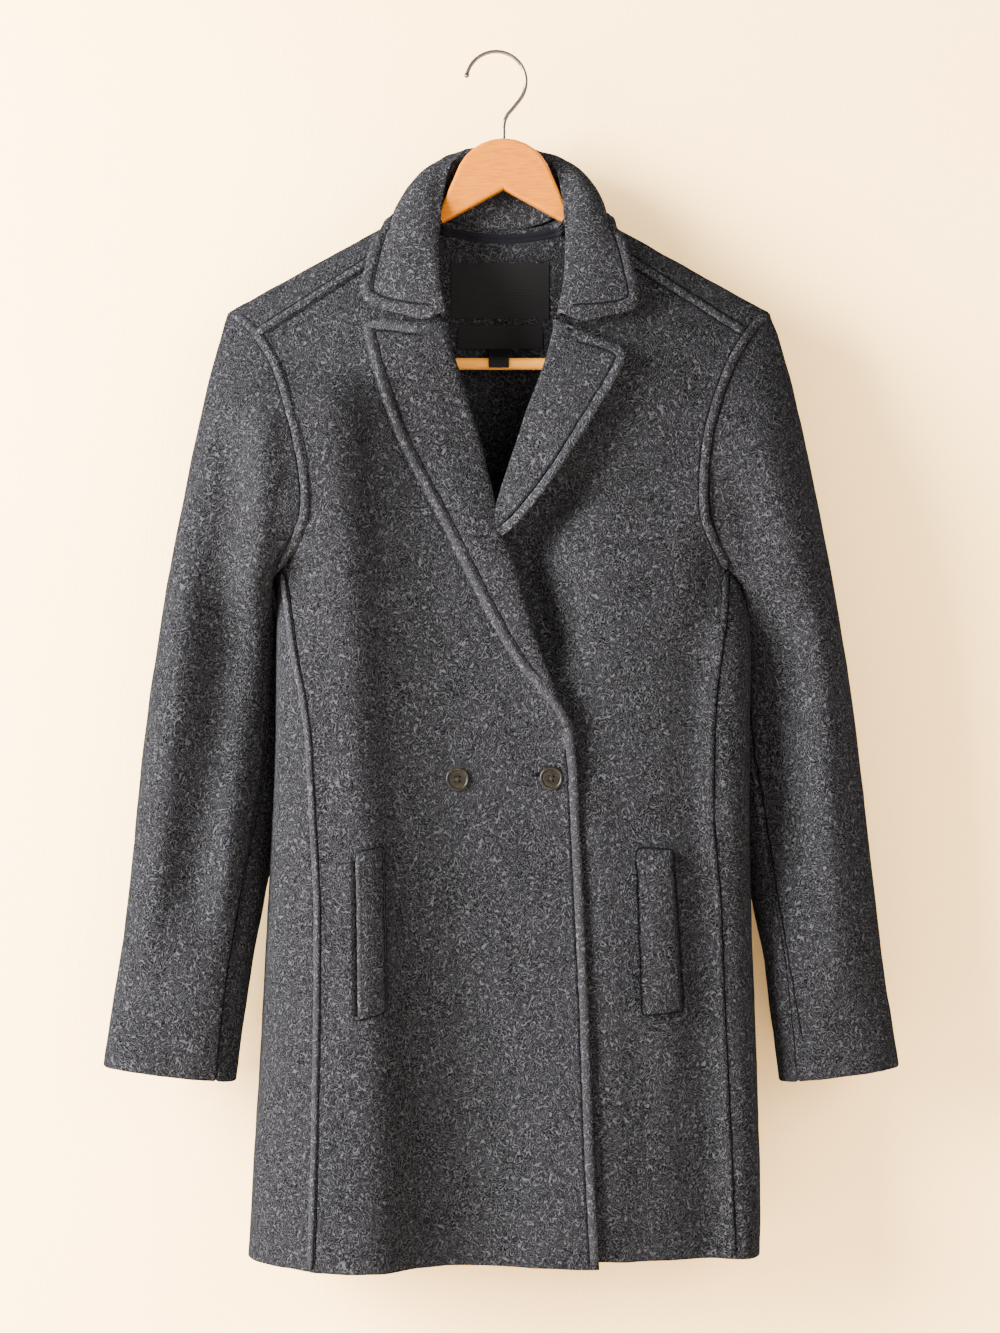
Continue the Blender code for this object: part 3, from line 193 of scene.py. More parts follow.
def beech(name="lacquered_beech", tones=("#7c4302", "#8a4d03", "#955504"), fleck_tone="#6a3806"):
    """Lacquered beech: pale straight grain with short flecks under a clear satin coat."""
    made, tree, shader, place = new_material(name)
    grain_place = add(tree, "ShaderNodeMapping", {"Vector": place, "Scale": (1.0, 9.0, 9.0)})
    grain = add(tree, "ShaderNodeTexNoise", {
        "Vector": grain_place.outputs["Vector"], "Scale": per_mm(14.0), "Detail": 5.0, "Roughness": 0.55,
        "Distortion": 0.3,
    })
    fleck_place = add(tree, "ShaderNodeMapping", {"Vector": place, "Scale": (1.0, 3.0, 12.0)})
    fleck = add(tree, "ShaderNodeTexNoise", {
        "Vector": fleck_place.outputs["Vector"], "Scale": per_mm(2.4), "Detail": 1.0,
    })
    stops = tuple(zip((0.3, 0.5, 0.72), tones))
    tone = add(tree, "ShaderNodeValToRGB", {"Fac": grain.outputs["Fac"]}, stops=stops)
    dark = add(tree, "ShaderNodeMapRange", {
        "Value": fleck.outputs["Fac"], "From Min": 0.62, "From Max": 0.72, "To Max": 0.35,
    })
    flecked = add(tree, "ShaderNodeMix", {
        "Factor": dark.outputs["Result"], 6: tone.outputs["Color"], 7: linear(fleck_tone),
    }, data_type="RGBA")
    finish_material(tree, shader, flecked.outputs[2], 0.38, grain.outputs["Fac"], 0.00008, gleam=0.03)
    shader.inputs["Coat Weight"].default_value = 0.01
    shader.inputs["Coat Roughness"].default_value = 0.25
    return made


def steel():
    """Polished steel wire: mid grey with bright edges, and faint lines from the drawing die."""
    made, tree, shader, place = new_material("polished_steel_wire")
    drawn = add(tree, "ShaderNodeTexNoise", {"Vector": place, "Scale": per_mm(0.8), "Detail": 2.0})
    tone = add(tree, "ShaderNodeValToRGB", {"Fac": drawn.outputs["Fac"]}, stops=(
        (0.3, "#454341"), (0.7, "#625f5c"),
    ))
    finish_material(tree, shader, tone.outputs["Color"], 0.26, drawn.outputs["Fac"], 0.00002)
    shader.inputs["Metallic"].default_value = 1.0
    return made


def horn():
    """Dark buffalo horn: brown-black with paler cloudy streaks, turned and polished."""
    made, tree, shader, place = new_material("polished_dark_horn")
    streak_place = add(tree, "ShaderNodeMapping", {
        "Vector": place, "Rotation": (0.0, 0.5, 0.0), "Scale": (1.0, 1.0, 2.6),
    })
    streaks = add(tree, "ShaderNodeTexNoise", {
        "Vector": streak_place.outputs["Vector"], "Scale": per_mm(6.0), "Detail": 3.0, "Distortion": 1.4,
    })
    tone = add(tree, "ShaderNodeValToRGB", {"Fac": streaks.outputs["Fac"]}, stops=(
        (0.3, "#060504"), (0.5, "#0d0b08"), (0.68, "#18140d"),
    ))
    finish_material(tree, shader, tone.outputs["Color"], 0.32, streaks.outputs["Fac"], 0.00004, gleam=0.12)
    return made


def woven(name, rib, wavering, stops, rough, depth, gleam, slant=0.0, bands="X"):
    """A weave with fine ribs. They are drawn coarser than the real weave, so that they show."""
    made, tree, shader, place = new_material(name)
    turned = add(tree, "ShaderNodeMapping", {"Vector": place, "Rotation": (0.0, slant, 0.0)})
    ribs = add(tree, "ShaderNodeTexWave", {
        "Vector": turned.outputs["Vector"], "Scale": per_mm(rib) / math.pi, "Distortion": wavering,
        "Detail": 1.0,
    }, bands_direction=bands)
    tone = add(tree, "ShaderNodeValToRGB", {"Fac": ribs.outputs["Fac"]}, stops=stops)
    finish_material(tree, shader, tone.outputs["Color"], rough, ribs.outputs["Fac"], depth, gleam)
    return made


WOOL = boiled_wool()
# Painted highlight: a paler copy of the wool for rolled edges, welts and lips that catch the light
HIGHLIT_WOOL = boiled_wool("wool_with_painted_highlight", 1.0)
# Painted shade: nearly black copies of the wool, laid as strips along grooves, rows of stitches, pocket
# mouths and the buttonhole
SHADED = painted_shade_wool("wool_with_painted_groove_shade", "#030303", "#101011")
STITCH_SHADE_WOOL = painted_shade_wool("boiled_wool_pressed_by_stitches", "#040405", "#141416")
# Weaker painted highlight: a slightly paler copy of the wool for the collar, the armhole and shoulder welts
# and the under lapel's and collar's rolled edges
DIM_HIGHLIGHT_WOOL = boiled_wool("wool_with_weak_painted_highlight", 0.3)
THREAD = sewing_thread()
BEECH = beech()
# Painted light: the same beech in paler tones, to lift the bar where it lies in shade
BAR_WOOD_PAINTED_LIGHT = beech("beech_dowel_painted_lighter", ("#a96e22", "#b57829", "#bd8130"), "#99601b")
STEEL = steel()
HORN = horn()
# Black woven label satin: long floats one way, which give a faint ribbed sheen
SATIN = woven(
    "black_label_satin", 1.4, 0.4, ((0.2, "#0a090a"), (0.8, "#131213")), 0.5, 0.00008, 0.03, bands="Z",
)
# Cotton twill tape: fine slanting ribs, matt charcoal
TAPE = woven(
    "charcoal_twill_tape", 1.6, 0.6, ((0.1, "#09090b"), (0.9, "#131317")), 0.9, 0.0002, 0.0,
    slant=math.radians(40),
)

# Each piece of cloth: the node, the cut's width and length in metres, its flat area in square metres, and the
# node that it rests on
CLOTH = (
    ("right_front", 0.30, 0.87, 0.170, "hanger_body"),
    ("left_front", 0.29, 0.87, 0.182, "hanger_body"),
    ("right_lapel", 0.14, 0.36, 0.0234, "right_front"),
    ("left_lapel", 0.14, 0.20, 0.0119, "left_front"),
    ("right_side", 0.16, 0.58, 0.0751, "right_front"),
    ("left_side", 0.14, 0.58, 0.0665, "left_front"),
    ("right_back", 0.25, 0.91, 0.1497, "hanger_body"),
    ("left_back", 0.25, 0.91, 0.1542, "hanger_body"),
    ("right_top_sleeve", 0.27, 0.68, 0.1355, "right_front"),
    ("right_under_sleeve", 0.10, 0.48, 0.0315, "right_side"),
    ("left_top_sleeve", 0.26, 0.68, 0.1222, "left_front"),
    ("left_under_sleeve", 0.10, 0.48, 0.0304, "left_side"),
    ("collar", 0.13, 0.52, 0.0369, "right_back"),
    ("right_pocket_welt", 0.030, 0.142, 0.0039, "right_front"),
    ("left_pocket_welt", 0.036, 0.142, 0.0048, "left_front"),
)


# How far the rim of a cloth wall keeps its edges when it is smoothed
RIM_SHARPNESS = 0.9
# The uneven face of felted cloth: height and size of its swells, in millimetres
RUFFLES = ((0.22, 5.0), (0.5, 21.0))


def copied(node):
    """A merged bmesh of a CAD node, with its triangles joined back into four-sided faces."""
    bm = bmesh.new()
    bm.from_mesh(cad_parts[node].data)
    bmesh.ops.remove_doubles(bm, verts=bm.verts, dist=0.01 * MM)
    bmesh.ops.join_triangles(
        bm, faces=bm.faces, angle_face_threshold=math.radians(50), angle_shape_threshold=math.radians(60),
    )
    return bm


def piece_from(bm, name, finish, levels=0):
    """Makes a named object of a bmesh, subdivided if asked."""
    mesh = bpy.data.meshes.new(name)
    bm.to_mesh(mesh)
    bm.free()
    made = bpy.data.objects.new(name, mesh)
    bpy.context.scene.collection.objects.link(made)
    made.data.materials.append(finish)
    if levels:
        soft = made.modifiers.new("soft", "SUBSURF")
        soft.levels = levels
        soft.render_levels = levels
        bpy.context.view_layer.update()
        ready = made.evaluated_get(bpy.context.evaluated_depsgraph_get())
        smooth_mesh = bpy.data.meshes.new_from_object(ready)
        made.modifiers.clear()
        made.data = smooth_mesh
    made.data.shade_smooth()
    return made


def crease_rims(bm):
    """Keeps the rim of a wall nearly square where it turns from one side to the other."""
    creases = bm.edges.layers.float.get("crease_edge") or bm.edges.layers.float.new("crease_edge")
    for edge in bm.edges:
        if len(edge.link_faces) == 2 and edge.calc_face_angle(0.0) > math.radians(50):
            edge[creases] = RIM_SHARPNESS


def ruffle(mesh):
    """Gives felted cloth its slightly uneven face."""
    for vertex, normal in zip(mesh.vertices, [v.normal.copy() for v in mesh.vertices]):
        place = vertex.co / MM
        uneven = sum(height * noise.noise(place / size) for height, size in RUFFLES)
        vertex.co += normal * uneven * MM


# Armhole seams seen from the front, in millimetres: height, x on the viewer's left and on their right
ARMHOLE = (
    (-221, -222, 227), (-228, -210, 219), (-240, -199, 209), (-264, -184, 195), (-292, -174, 184),
    (-320, -166, 176), (-347, -160, 172), (-371, -157, 171), (-394, -158, 172), (-415, -167, 181),
    (-436, -179, 191),
)
# Seams of the back, with the same columns
SIDE_BACK = ((-440, -153, 177), (-550, -141, 166), (-650, -143.5, 166), (-820, -152, 169), (-1007, -163, 174))
SLEEVE_BACK = ((-447, -200, 222), (-550, -208, 228), (-650, -219, 237), (-750, -229, 247), (-861, -244, 260))
# Side edges of the body, with the same columns
BODY_SIDES = (
    (-380, -222, 236), (-436, -187, 212), (-503, -186, 213), (-579, -186, 212), (-646, -189, 212),
    (-714, -193, 213), (-798, -197, 216), (-882, -202, 219), (-950, -206, 222), (-1020, -210, 220),
)
# Inner edges of the sleeves, with the same columns
SLEEVE_ENDS = (
    (-444, -187, 212), (-492, -193, 219), (-542, -193, 220), (-600, -191, 219), (-634, -191, 219),
    (-672, -193, 220), (-715, -198, 221), (-765, -204, 224), (-811, -211, 230), (-864, -218, 237),
)
# How far each sleeve reaches in behind the side of the body: height, then the viewer's left and right sleeve
TUCK = ((-445, 0, 0), (-490, 8, 10), (-560, 9, 12), (-650, 8, 12), (-700, 4, 8), (-760, 0, 0))

# Creases, listed one by one, in millimetres: the pieces, the kind, the height towards the viewer, the half
# width, and the line as (x, height). A ridge is raised, or sunk where its height is below zero. A step is
# raised on one side of its line and sunk on the other.
FOLD_PIECES = (
    "right_front", "right_lapel", "right_pocket_welt", "right_side", "left_front", "right_top_sleeve",
)
CREASES = (
    (FOLD_PIECES, "step", 21.0, 34, (
        (-106, -262), (-105, -297), (-102, -347), (-99, -396), (-96, -462), (-93, -528), (-89, -594),
        (-84, -668), (-79, -751), (-72, -841), (-64, -1060),
    )),
    (("right_top_sleeve",), "ridge", 11.0, 14, (
        (-193, -285), (-192, -355), (-198, -429), (-205, -495), (-213, -577), (-221, -668), (-230, -745),
    )),
    (("right_top_sleeve",), "ridge", 5.0, 30, ((-216, -610), (-222, -690), (-232, -770), (-240, -860))),
    (("right_top_sleeve",), "ridge", -13.0, 22, (
        (-224, -296), (-223, -396), (-228, -479), (-234, -561), (-244, -652), (-254, -742),
    )),
    (("right_top_sleeve",), "ridge", 6.0, 16, (
        (-253, -396), (-264, -495), (-273, -594), (-281, -676), (-294, -775),
    )),
    (("left_top_sleeve",), "ridge", 5.0, 20, (
        (211, -297), (227, -355), (250, -429), (263, -528), (271, -627), (282, -726), (291, -817),
    )),
    (("left_top_sleeve",), "ridge", -5.0, 14, (
        (197, -355), (211, -413), (227, -462), (236, -528), (240, -610), (246, -693),
    )),
    (("left_front",), "ridge", -20.0, 22, (
        (80, -340), (57, -368), (36, -400), (30, -437), (40, -485), (54, -528),
    )),
    (("left_front", "left_pocket_welt"), "ridge", 7.0, 28, (
        (138, -640), (142, -720), (143, -800), (144, -1060),
    )),
    (("left_front",), "ridge", 4.0, 20, ((160, -330), (161, -396), (158, -454), (160, -512))),
    (("left_front",), "ridge", 4.0, 14, (
        (80, -575), (84, -640), (90, -720), (95, -800), (99, -912), (105, -1060),
    )),
    (("right_lapel",), "ridge", 4.0, 18, (
        (29, -520), (17, -494), (3, -462), (-11, -427), (-26, -392), (-38, -360), (-48, -332), (-58, -303),
        (-68, -273),
    )),
    (("right_front", "right_lapel"), "ridge", 5.0, 16, (
        (10, -410), (28, -460), (45, -522), (58, -554), (66, -590), (69, -643),
    )),
)
# Length over which a crease runs out at each end, and the depths between which it starts and is full, so that
# it moves the front of the coat and leaves the back
CREASE_FADE = 45.0
CREASE_DEPTHS = (-5.0, -25.0)
# The sunk far side of a step: its depth and its width, as shares of the raised side's, and how slowly each
# side runs out
STEP_DIP = 0.75
STEP_SPREAD = 1.6
STEP_TAIL = 2.3
# Heights between which the fold runs out of the sleeve
FOLD_ON_SLEEVE = (-480.0, -435.0)
# Fold line of the under lapel. The lapel rises from it by a slope, which grows between these heights.
LEFT_LAPEL_ROLL = (
    (-4, -404), (0, -390), (6, -373), (13, -352), (20, -330), (27, -309), (34, -291), (41, -272), (50, -242),
)
LAPEL_SLOPE = 0.08
LAPEL_MORE_SLOPE = ((-235.0, -290.0, 0.1), (-290.0, -390.0, 0.4))
LAPEL_FLAT = 4.0
LAPEL_REACH = 60.0
LAPEL_FRONT = -20.0
# How far a pocket welt lies back into the front
POCKET_SINK = 1.6
# Middle of the neck, how far the collar's top is raised, and how far the corners of its fall are drawn in,
# with the heights and the distances from the middle between which that happens
NECK_X = 3.0
COLLAR_RISE = 6.0
COLLAR_TOP = (-128.0, -98.0)
COLLAR_TUCK = 2.5
CORNER_HEIGHTS = (-158.0, -144.0)
CORNER_WIDTHS = (88.0, 96.0)
# Rounding of the body towards its sides: the column of the side edge, which way is out, how far the cloth
# comes forward, and over what width. It eases in below the armholes and towards the front.
SIDE_ROUNDING = ((1, -1, 10.0, 60.0), (2, 1, 25.0, 54.0))
SIDE_EDGE = 3.0
BELOW_ARM = (-440.0, -510.0)
BODY_FRONT = (25.0, -5.0)
# How far the sides are drawn in behind, and where: across the side, towards the back, and above the hem
SIDE_PINCH = 8.0
PINCH_WIDTHS = (26.0, 2.0)
PINCH_REACH = 60.0
BODY_BACK = (-18.0, 8.0)
ABOVE_HEM = (-800.0, -700.0)
# How far a sleeve's inner edge goes back for each millimetre that it is tucked in, and the widths and depths
# over which it does
TUCK_BACK = 2.4
TUCK_WIDTHS = (34.0, 0.0)
TURN_WIDTHS = (60.0, 4.0)
SLEEVE_DEPTHS = (55.0, 0.0)


def ease(low, high, value):
    """0 at low, 1 at high, and an even ease between them."""
    share = np.clip((value - low) / (high - low), 0.0, 1.0)
    return share * share * (3 - 2 * share)


def table_at(table, column, z):
    """A column of a table of falling heights, at some heights."""
    return np.interp(-z, [-row[0] for row in table], [row[column] for row in table])


def nearest_on(line, x, z):
    """Signed distance of each place from a line, and how far along the line its nearest point is."""
    best = np.full(x.shape, 1e9)
    signed = np.zeros(x.shape)
    reach = np.zeros(x.shape)
    done = 0.0
    for (ax, az), (bx, bz) in zip(line, line[1:]):
        length = math.hypot(bx - ax, bz - az)
        ux, uz = (bx - ax) / length, (bz - az) / length
        along = np.clip((x - ax) * ux + (z - az) * uz, 0.0, length)
        away_x, away_z = x - ax - ux * along, z - az - uz * along
        away = np.hypot(away_x, away_z)
        closer = away < best
        best = np.where(closer, away, best)
        signed = np.where(closer, away * np.sign(away_z * ux - away_x * uz), signed)
        reach = np.where(closer, done + along, reach)
        done += length
    return signed, reach, done


def crease_heights(node, x, z):
    """How far the creases bring each place of a piece towards the viewer."""
    raised = np.zeros(x.shape)
    for nodes, kind, height, width, line in CREASES:
        if node not in nodes:
            continue
        signed, reach, length = nearest_on(line, x, z)
        fade = ease(0.0, CREASE_FADE, reach) * ease(0.0, CREASE_FADE, length - reach)
        share = signed / width
        if kind == "ridge":
            raised += height * np.exp(-share ** 2) * fade
            continue
        sunk = share > 0
        share = np.where(sunk, share / STEP_SPREAD, share)
        if node.endswith("_sleeve"):
            fade *= ease(*FOLD_ON_SLEEVE, z)
        beyond = np.exp(-(np.maximum(np.abs(share) - 1.0, 0.0) / STEP_TAIL) ** 2)
        near = np.clip(share, -1.0, 1.0)
        rise = height * near * np.exp(0.5 - near ** 2 / 2) * beyond * fade
        raised -= rise * np.where(sunk, STEP_DIP, 1.0)
    return raised


def lapel_heights(x, y, z):
    """How far the under lapel stands off the front at each place."""
    signed, _, _ = nearest_on(LEFT_LAPEL_ROLL, x, z)
    slope = LAPEL_SLOPE + sum(more * ease(high, low, z) for high, low, more in LAPEL_MORE_SLOPE)
    return slope * np.clip(np.abs(signed) - LAPEL_FLAT, 0.0, LAPEL_REACH) * (y < LAPEL_FRONT)


def round_sides(x, y, z):
    """Brings the body forward near its sides, and draws it in behind."""
    for column, out, forward, width in SIDE_ROUNDING:
        inset = out * (table_at(BODY_SIDES, column, z) - x)
        low = ease(*BELOW_ARM, z)
        y = y - forward * ease(width, SIDE_EDGE, inset) * ease(*BODY_FRONT, y) * low
        pinch = SIDE_PINCH * ease(*PINCH_WIDTHS, inset) * ease(*BODY_BACK, y) * low * ease(*ABOVE_HEM, z)
        x = x - out * pinch * (inset < PINCH_REACH)
    return x, y


def tuck_sleeve(node, x, y, z):
    """Brings the inner edge of a sleeve in and back, behind the side of the body."""
    column, out = (1, -1) if node.startswith("right") else (2, 1)
    inner = out * (x - table_at(SLEEVE_ENDS, column, z))
    tuck = table_at(TUCK, column, z)
    x = x - out * tuck * ease(*TUCK_WIDTHS, inner)
    y = y + TUCK_BACK * tuck * ease(*TURN_WIDTHS, inner) * ease(*SLEEVE_DEPTHS, y)
    return x, y


def give_form(node, mesh):
    """Moves a piece of cloth into its main creases, its rounded sides and the tuck of its sleeves."""
    flat = np.empty(len(mesh.vertices) * 3)
    mesh.vertices.foreach_get("co", flat)
    x, y, z = (flat.reshape(-1, 3) / MM).T
    raised = crease_heights(node, x, z)
    if node == "left_lapel":
        raised += lapel_heights(x, y, z)
    y = y - raised * ease(*CREASE_DEPTHS, y)
    if node.endswith("_pocket_welt"):
        y = y + POCKET_SINK
    if node == "collar":
        corner = ease(*CORNER_HEIGHTS, z) * ease(*CORNER_WIDTHS, np.abs(x - NECK_X))
        x = x - np.sign(x - NECK_X) * COLLAR_TUCK * corner
        z = z + COLLAR_RISE * ease(*COLLAR_TOP, z) - COLLAR_TUCK * corner
    if node.endswith(("_side", "_front", "_back")):
        x, y = round_sides(x, y, z)
    if node.endswith("_sleeve"):
        x, y = tuck_sleeve(node, x, y, z)
    mesh.vertices.foreach_set("co", (np.stack([x, y, z], axis=1) * MM).ravel())
    mesh.update()


def dress_cloth():
    """Puts a soft wool piece in the place of each cut piece of cloth."""
    made = {}
    for node, *_ in CLOTH:
        bm = copied(node)
        crease_rims(bm)
        # The collar gets the copy of the wool with a weaker painted highlight
        piece = piece_from(bm, f"{node}_wool", DIM_HIGHLIGHT_WOOL if node == "collar" else WOOL, levels=2)
        give_form(node, piece.data)
        ruffle(piece.data)
        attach(piece, ROOT)
        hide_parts(node)
        made[node] = piece
    return made


def faces_of(pieces):
    """A search tree of the faces of some pieces."""
    points = []
    polygons = []
    for piece in pieces:
        start = len(points)
        points += [vertex.co.copy() for vertex in piece.data.vertices]
        polygons += [[start + i for i in face.vertices] for face in piece.data.polygons]
    return BVHTree.FromPolygons(points, polygons)


def evenly(points, step):
    """The same line, through points an even step apart."""
    points = [Vector(point) for point in points]
    lengths = [0.0]
    for a, b in zip(points, points[1:]):
        lengths.append(lengths[-1] + (b - a).length)
    count = max(2, round(lengths[-1] / step) + 1)
    even = []
    span = 0
    for i in range(count):
        reach = lengths[-1] * i / (count - 1)
        while span < len(lengths) - 2 and lengths[span + 1] < reach:
            span += 1
        share = (reach - lengths[span]) / max(lengths[span + 1] - lengths[span], 1e-9)
        even.append(points[span].lerp(points[span + 1], min(max(share, 0.0), 1.0)))
    return even


def eased(points, rounds=2):
    """The same line with its corners rounded off; its ends stay."""
    points = [point.copy() for point in points]
    for _ in range(rounds):
        inner = [(a + b * 2 + c) / 4 for a, b, c in zip(points, points[1:], points[2:])]
        points = [points[0], *inner, points[-1]]
    return points


def evened(directions, rounds):
    """The same directions, each turned towards its neighbours."""
    for _ in range(rounds):
        inner = [a + b + c for a, b, c in zip(directions, directions[1:], directions[2:])]
        directions = [direction.normalized() for direction in (directions[0], *inner, directions[-1])]
    return directions


def beside(points, insets):
    """A line in the plane of the coat, moved by an inset at each point to its right, seen from the front."""
    moved = []
    for i, point in enumerate(points):
        along = points[min(i + 1, len(points) - 1)] - points[max(i - 1, 0)]
        aside = Vector((along.z, 0.0, -along.x)).normalized()
        moved.append(point + aside * insets[i])
    return moved


# A line is laid from this far off, meets the cloth in a band this far to each side of it, and keeps to the
# places within this depth of the nearest, all in millimetres
REACH = 200.0
BAND = 3.2
SAME_CLOTH = 2.5


def laid_on(tree, points, toward):
    """Places and outward directions where a line, seen along a direction, meets the nearest cloth."""
    places = []
    outward = []
    toward = Vector(toward).normalized()
    for i, point in enumerate(points):
        along = points[min(i + 1, len(points) - 1)] - points[max(i - 1, 0)]
        aside = along.cross(toward).normalized() * BAND
        hits = []
        for shift in (-1.0, -0.5, 0.0, 0.5, 1.0):
            start = point + aside * shift - toward * REACH
            hit, normal, _, distance = tree.ray_cast(start * MM, toward, 2 * REACH * MM)
            if hit is not None:
                hits.append((distance / MM, -normal if normal.dot(toward) > 0 else normal))
        if not hits:
            hit, normal, _, _ = tree.find_nearest(point * MM)
            distance = (hit / MM - point).dot(toward) + REACH
            hits = [(distance, -normal if normal.dot(toward) > 0 else normal)]
        near = min(distance for distance, _ in hits)
        kept = [(distance, normal) for distance, normal in hits if distance < near + SAME_CLOTH]
        depth = sum(distance for distance, _ in kept) / len(kept)
        places.append(point + toward * (depth - REACH))
        outward.append(sum((normal for _, normal in kept), Vector()).normalized())
    return eased(places, 4), evened(outward, 4)


def laid_near(tree, points, guesses):
    """Places and outward directions of a line near the cloth, on the side that the guesses point to."""
    places = []
    outward = []
    for point, guess in zip(points, guesses):
        hit, normal, _, _ = tree.find_nearest((point + guess * 5.0) * MM)
        places.append(hit / MM)
        outward.append((-normal if normal.dot(guess) < 0 else normal) + guess)
    return eased(places, 3), evened(outward, 3)


# How a tube wavers from one point to the next: the noise steps of its size and of its line, and how far the
# line sways at full wobble, in millimetres. The size that it narrows to at its ends comes last.
SIZE_STEP = 0.33
SWAY_STEP = 0.16
SWAY = 3.0
END_SIZE = 0.45


def swept(bm, points, outward, section, sink=0.0, wobble=0.1, seed=0.0, taper=3):
    """Rolls a grid into a closed tube along a line, with a section given as (across, out) in millimetres.
    The tube is thinner towards its ends, and its size and its line waver a little, as hand sewing does."""
    last = len(points) - 1
    columns = len(section) + 1
    grid = bmesh.ops.create_grid(bm, x_segments=columns - 1, y_segments=last, size=1.0)["verts"]
    for i, (point, normal) in enumerate(zip(points, outward)):
        along = (points[min(i + 1, last)] - points[max(i - 1, 0)]).normalized()
        aside = along.cross(normal).normalized()
        size = 1.0 + wobble * noise.noise(Vector((i * SIZE_STEP, seed, 0.0)))
        size *= min(1.0, END_SIZE + (1.0 - END_SIZE) * min(i, last - i) / taper)
        sway = wobble * SWAY * noise.noise(Vector((i * SWAY_STEP, seed, 7.0)))
        centre = point - normal * sink + aside * sway
        for j, (across, out) in enumerate((*section, section[0])):
            grid[i * columns + j].co = (centre + (aside * across + normal * out) * size) * MM
    bmesh.ops.remove_doubles(bm, verts=grid, dist=0.0001 * MM)
    bmesh.ops.holes_fill(bm, edges=[edge for edge in bm.edges if edge.is_boundary], sides=0)


def oval(half_width, half_height, sides=12):
    """An even oval section."""
    turns = [2 * math.pi * i / sides for i in range(sides)]
    return [(half_width * math.cos(turn), half_height * math.sin(turn)) for turn in turns]


def sewn(name, lines, section, finish, slot="boiled_wool", **shape):
    """A named piece swept along some lines."""
    bm = bmesh.new()
    for seed, (points, outward) in enumerate(lines):
        swept(bm, points, outward, section, seed=float(seed) + len(name), **shape)
    bmesh.ops.recalc_face_normals(bm, faces=bm.faces)
    made = piece_from(bm, name, finish)
    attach(made, ROOT)
    return made


# Sections of the seams and edges: (across, out) in millimetres
ARM_WELT = oval(3.9, 3.0)
SHOULDER_WELT = oval(3.7, 2.7)
SIDE_WELT = oval(2.8, 1.9)
SMALL_WELT = oval(2.6, 1.5, 10)
BINDING = oval(2.2, 1.3)
ROLL = oval(4.1, 2.6)
LOW_ROLL = oval(4.4, 2.2)
LIP = oval(2.3, 1.5)
# The next four are sections of the painted shade strips: grooves, the buttonhole's slit and the pocket mouths
GROOVE = ((-1.25, -0.6), (1.25, -0.6), (0.9, 0.26), (-0.9, 0.26))
FINE_GROOVE = ((-0.7, -0.6), (0.7, -0.6), (0.5, 0.28), (-0.5, 0.28))
SLIT = ((-2.0, -0.6), (2.0, -0.6), (1.6, 0.7), (-1.6, 0.7))
MOUTH = ((-2.3, -0.6), (2.3, -0.6), (2.1, 0.45), (-2.1, 0.45))
# How far lines lie inside the edge of the cloth, in millimetres: a rolled edge, its row of stitches drawn as
# a painted shade strip, and the lip of a pocket
ROLL_INSET = 4.6
GROOVE_INSET = 9.4
LIP_INSET = 4.0
# How far the painted shade strips along the sunk edges of a seam lie from its middle, in millimetres, and the
# rows of the neck binding below the neck seam
ARMHOLE_ASIDE = 4.6
SHOULDER_ASIDE = 5.0
SIDE_ASIDE = 3.4
BINDING_ROWS = (3.6, 7.6)
# Height at which the over front's edge turns into its lapel's, the height to each side of it over which the
# rolled edge changes sides, and how far from it the rows of stitches end
BREAK_Z = -570.0
BREAK_TURN = 22.0
BREAK_GAP = 12.0
# The collar's edge is sewn where it lies in front of this depth
NECK_FRONT = -12.0
# Half section of a button, in millimetres from the middle of its face round to the middle of its back
BUTTON_PROFILE = (
    (0.0, 0.55), (4.9, 0.6), (6.1, 0.75), (6.7, 0.45), (7.1, 0.5), (7.6, 1.25), (8.3, 1.6), (9.0, 1.55),
    (9.6, 1.05), (9.8, 0.3), (9.2, -0.7), (7.2, -1.3), (0.0, -1.5),
)
# The turning steps of a button, the radius of its thread holes and how far they lie from its middle, and how
# far its middle stands off the cloth, all but the first in millimetres
BUTTON_STEPS = 40
HOLE_RADIUS = 0.95
HOLE_CIRCLE = 2.5
BUTTON_LIFT = 1.9

# Side-front seams in the plane of the coat, in millimetres: height, x on the viewer's left and right
SIDE_FRONT = (
    (-440, -178, 190.5), (-470, -173, 189), (-508, -167, 183), (-540, -160, 179), (-572, -155, 177),
    (-642, -151, 176), (-709, -147, 182), (-790, -147, 185), (-912, -149, 191), (-1008, -152, 195),
)
# Shoulder seams from the neck to the tip, as (x, height) in millimetres
SHOULDER = (((-59, -147), (-203, -240.5)), ((65, -147), (212, -240.5)))
# Edge lines in the plane of the coat, in millimetres: the over front's and its lapel's from the hem up,
# and the under lapel's
OVER_EDGE = (
    (85, -1009), (80, -912), (76, -790), (72, -709), (69, -643), (67, -600), (63, -580), (57, -566),
    (48, -554), (39, -544), (20, -522), (5, -499), (-13, -466), (-31, -430), (-49, -394), (-67, -360),
    (-80, -335), (-91, -306), (-102, -274), (-109, -248), (-112, -232), (-108, -229), (-94, -229),
    (-77, -232), (-60, -234),
)
UNDER_EDGE = (
    (67, -239), (82, -244), (96, -248.5), (104, -253), (108, -261), (101, -277), (92, -292), (81, -310),
    (69, -329), (57, -348), (44, -367), (29, -386), (15, -402), (2, -412),
)
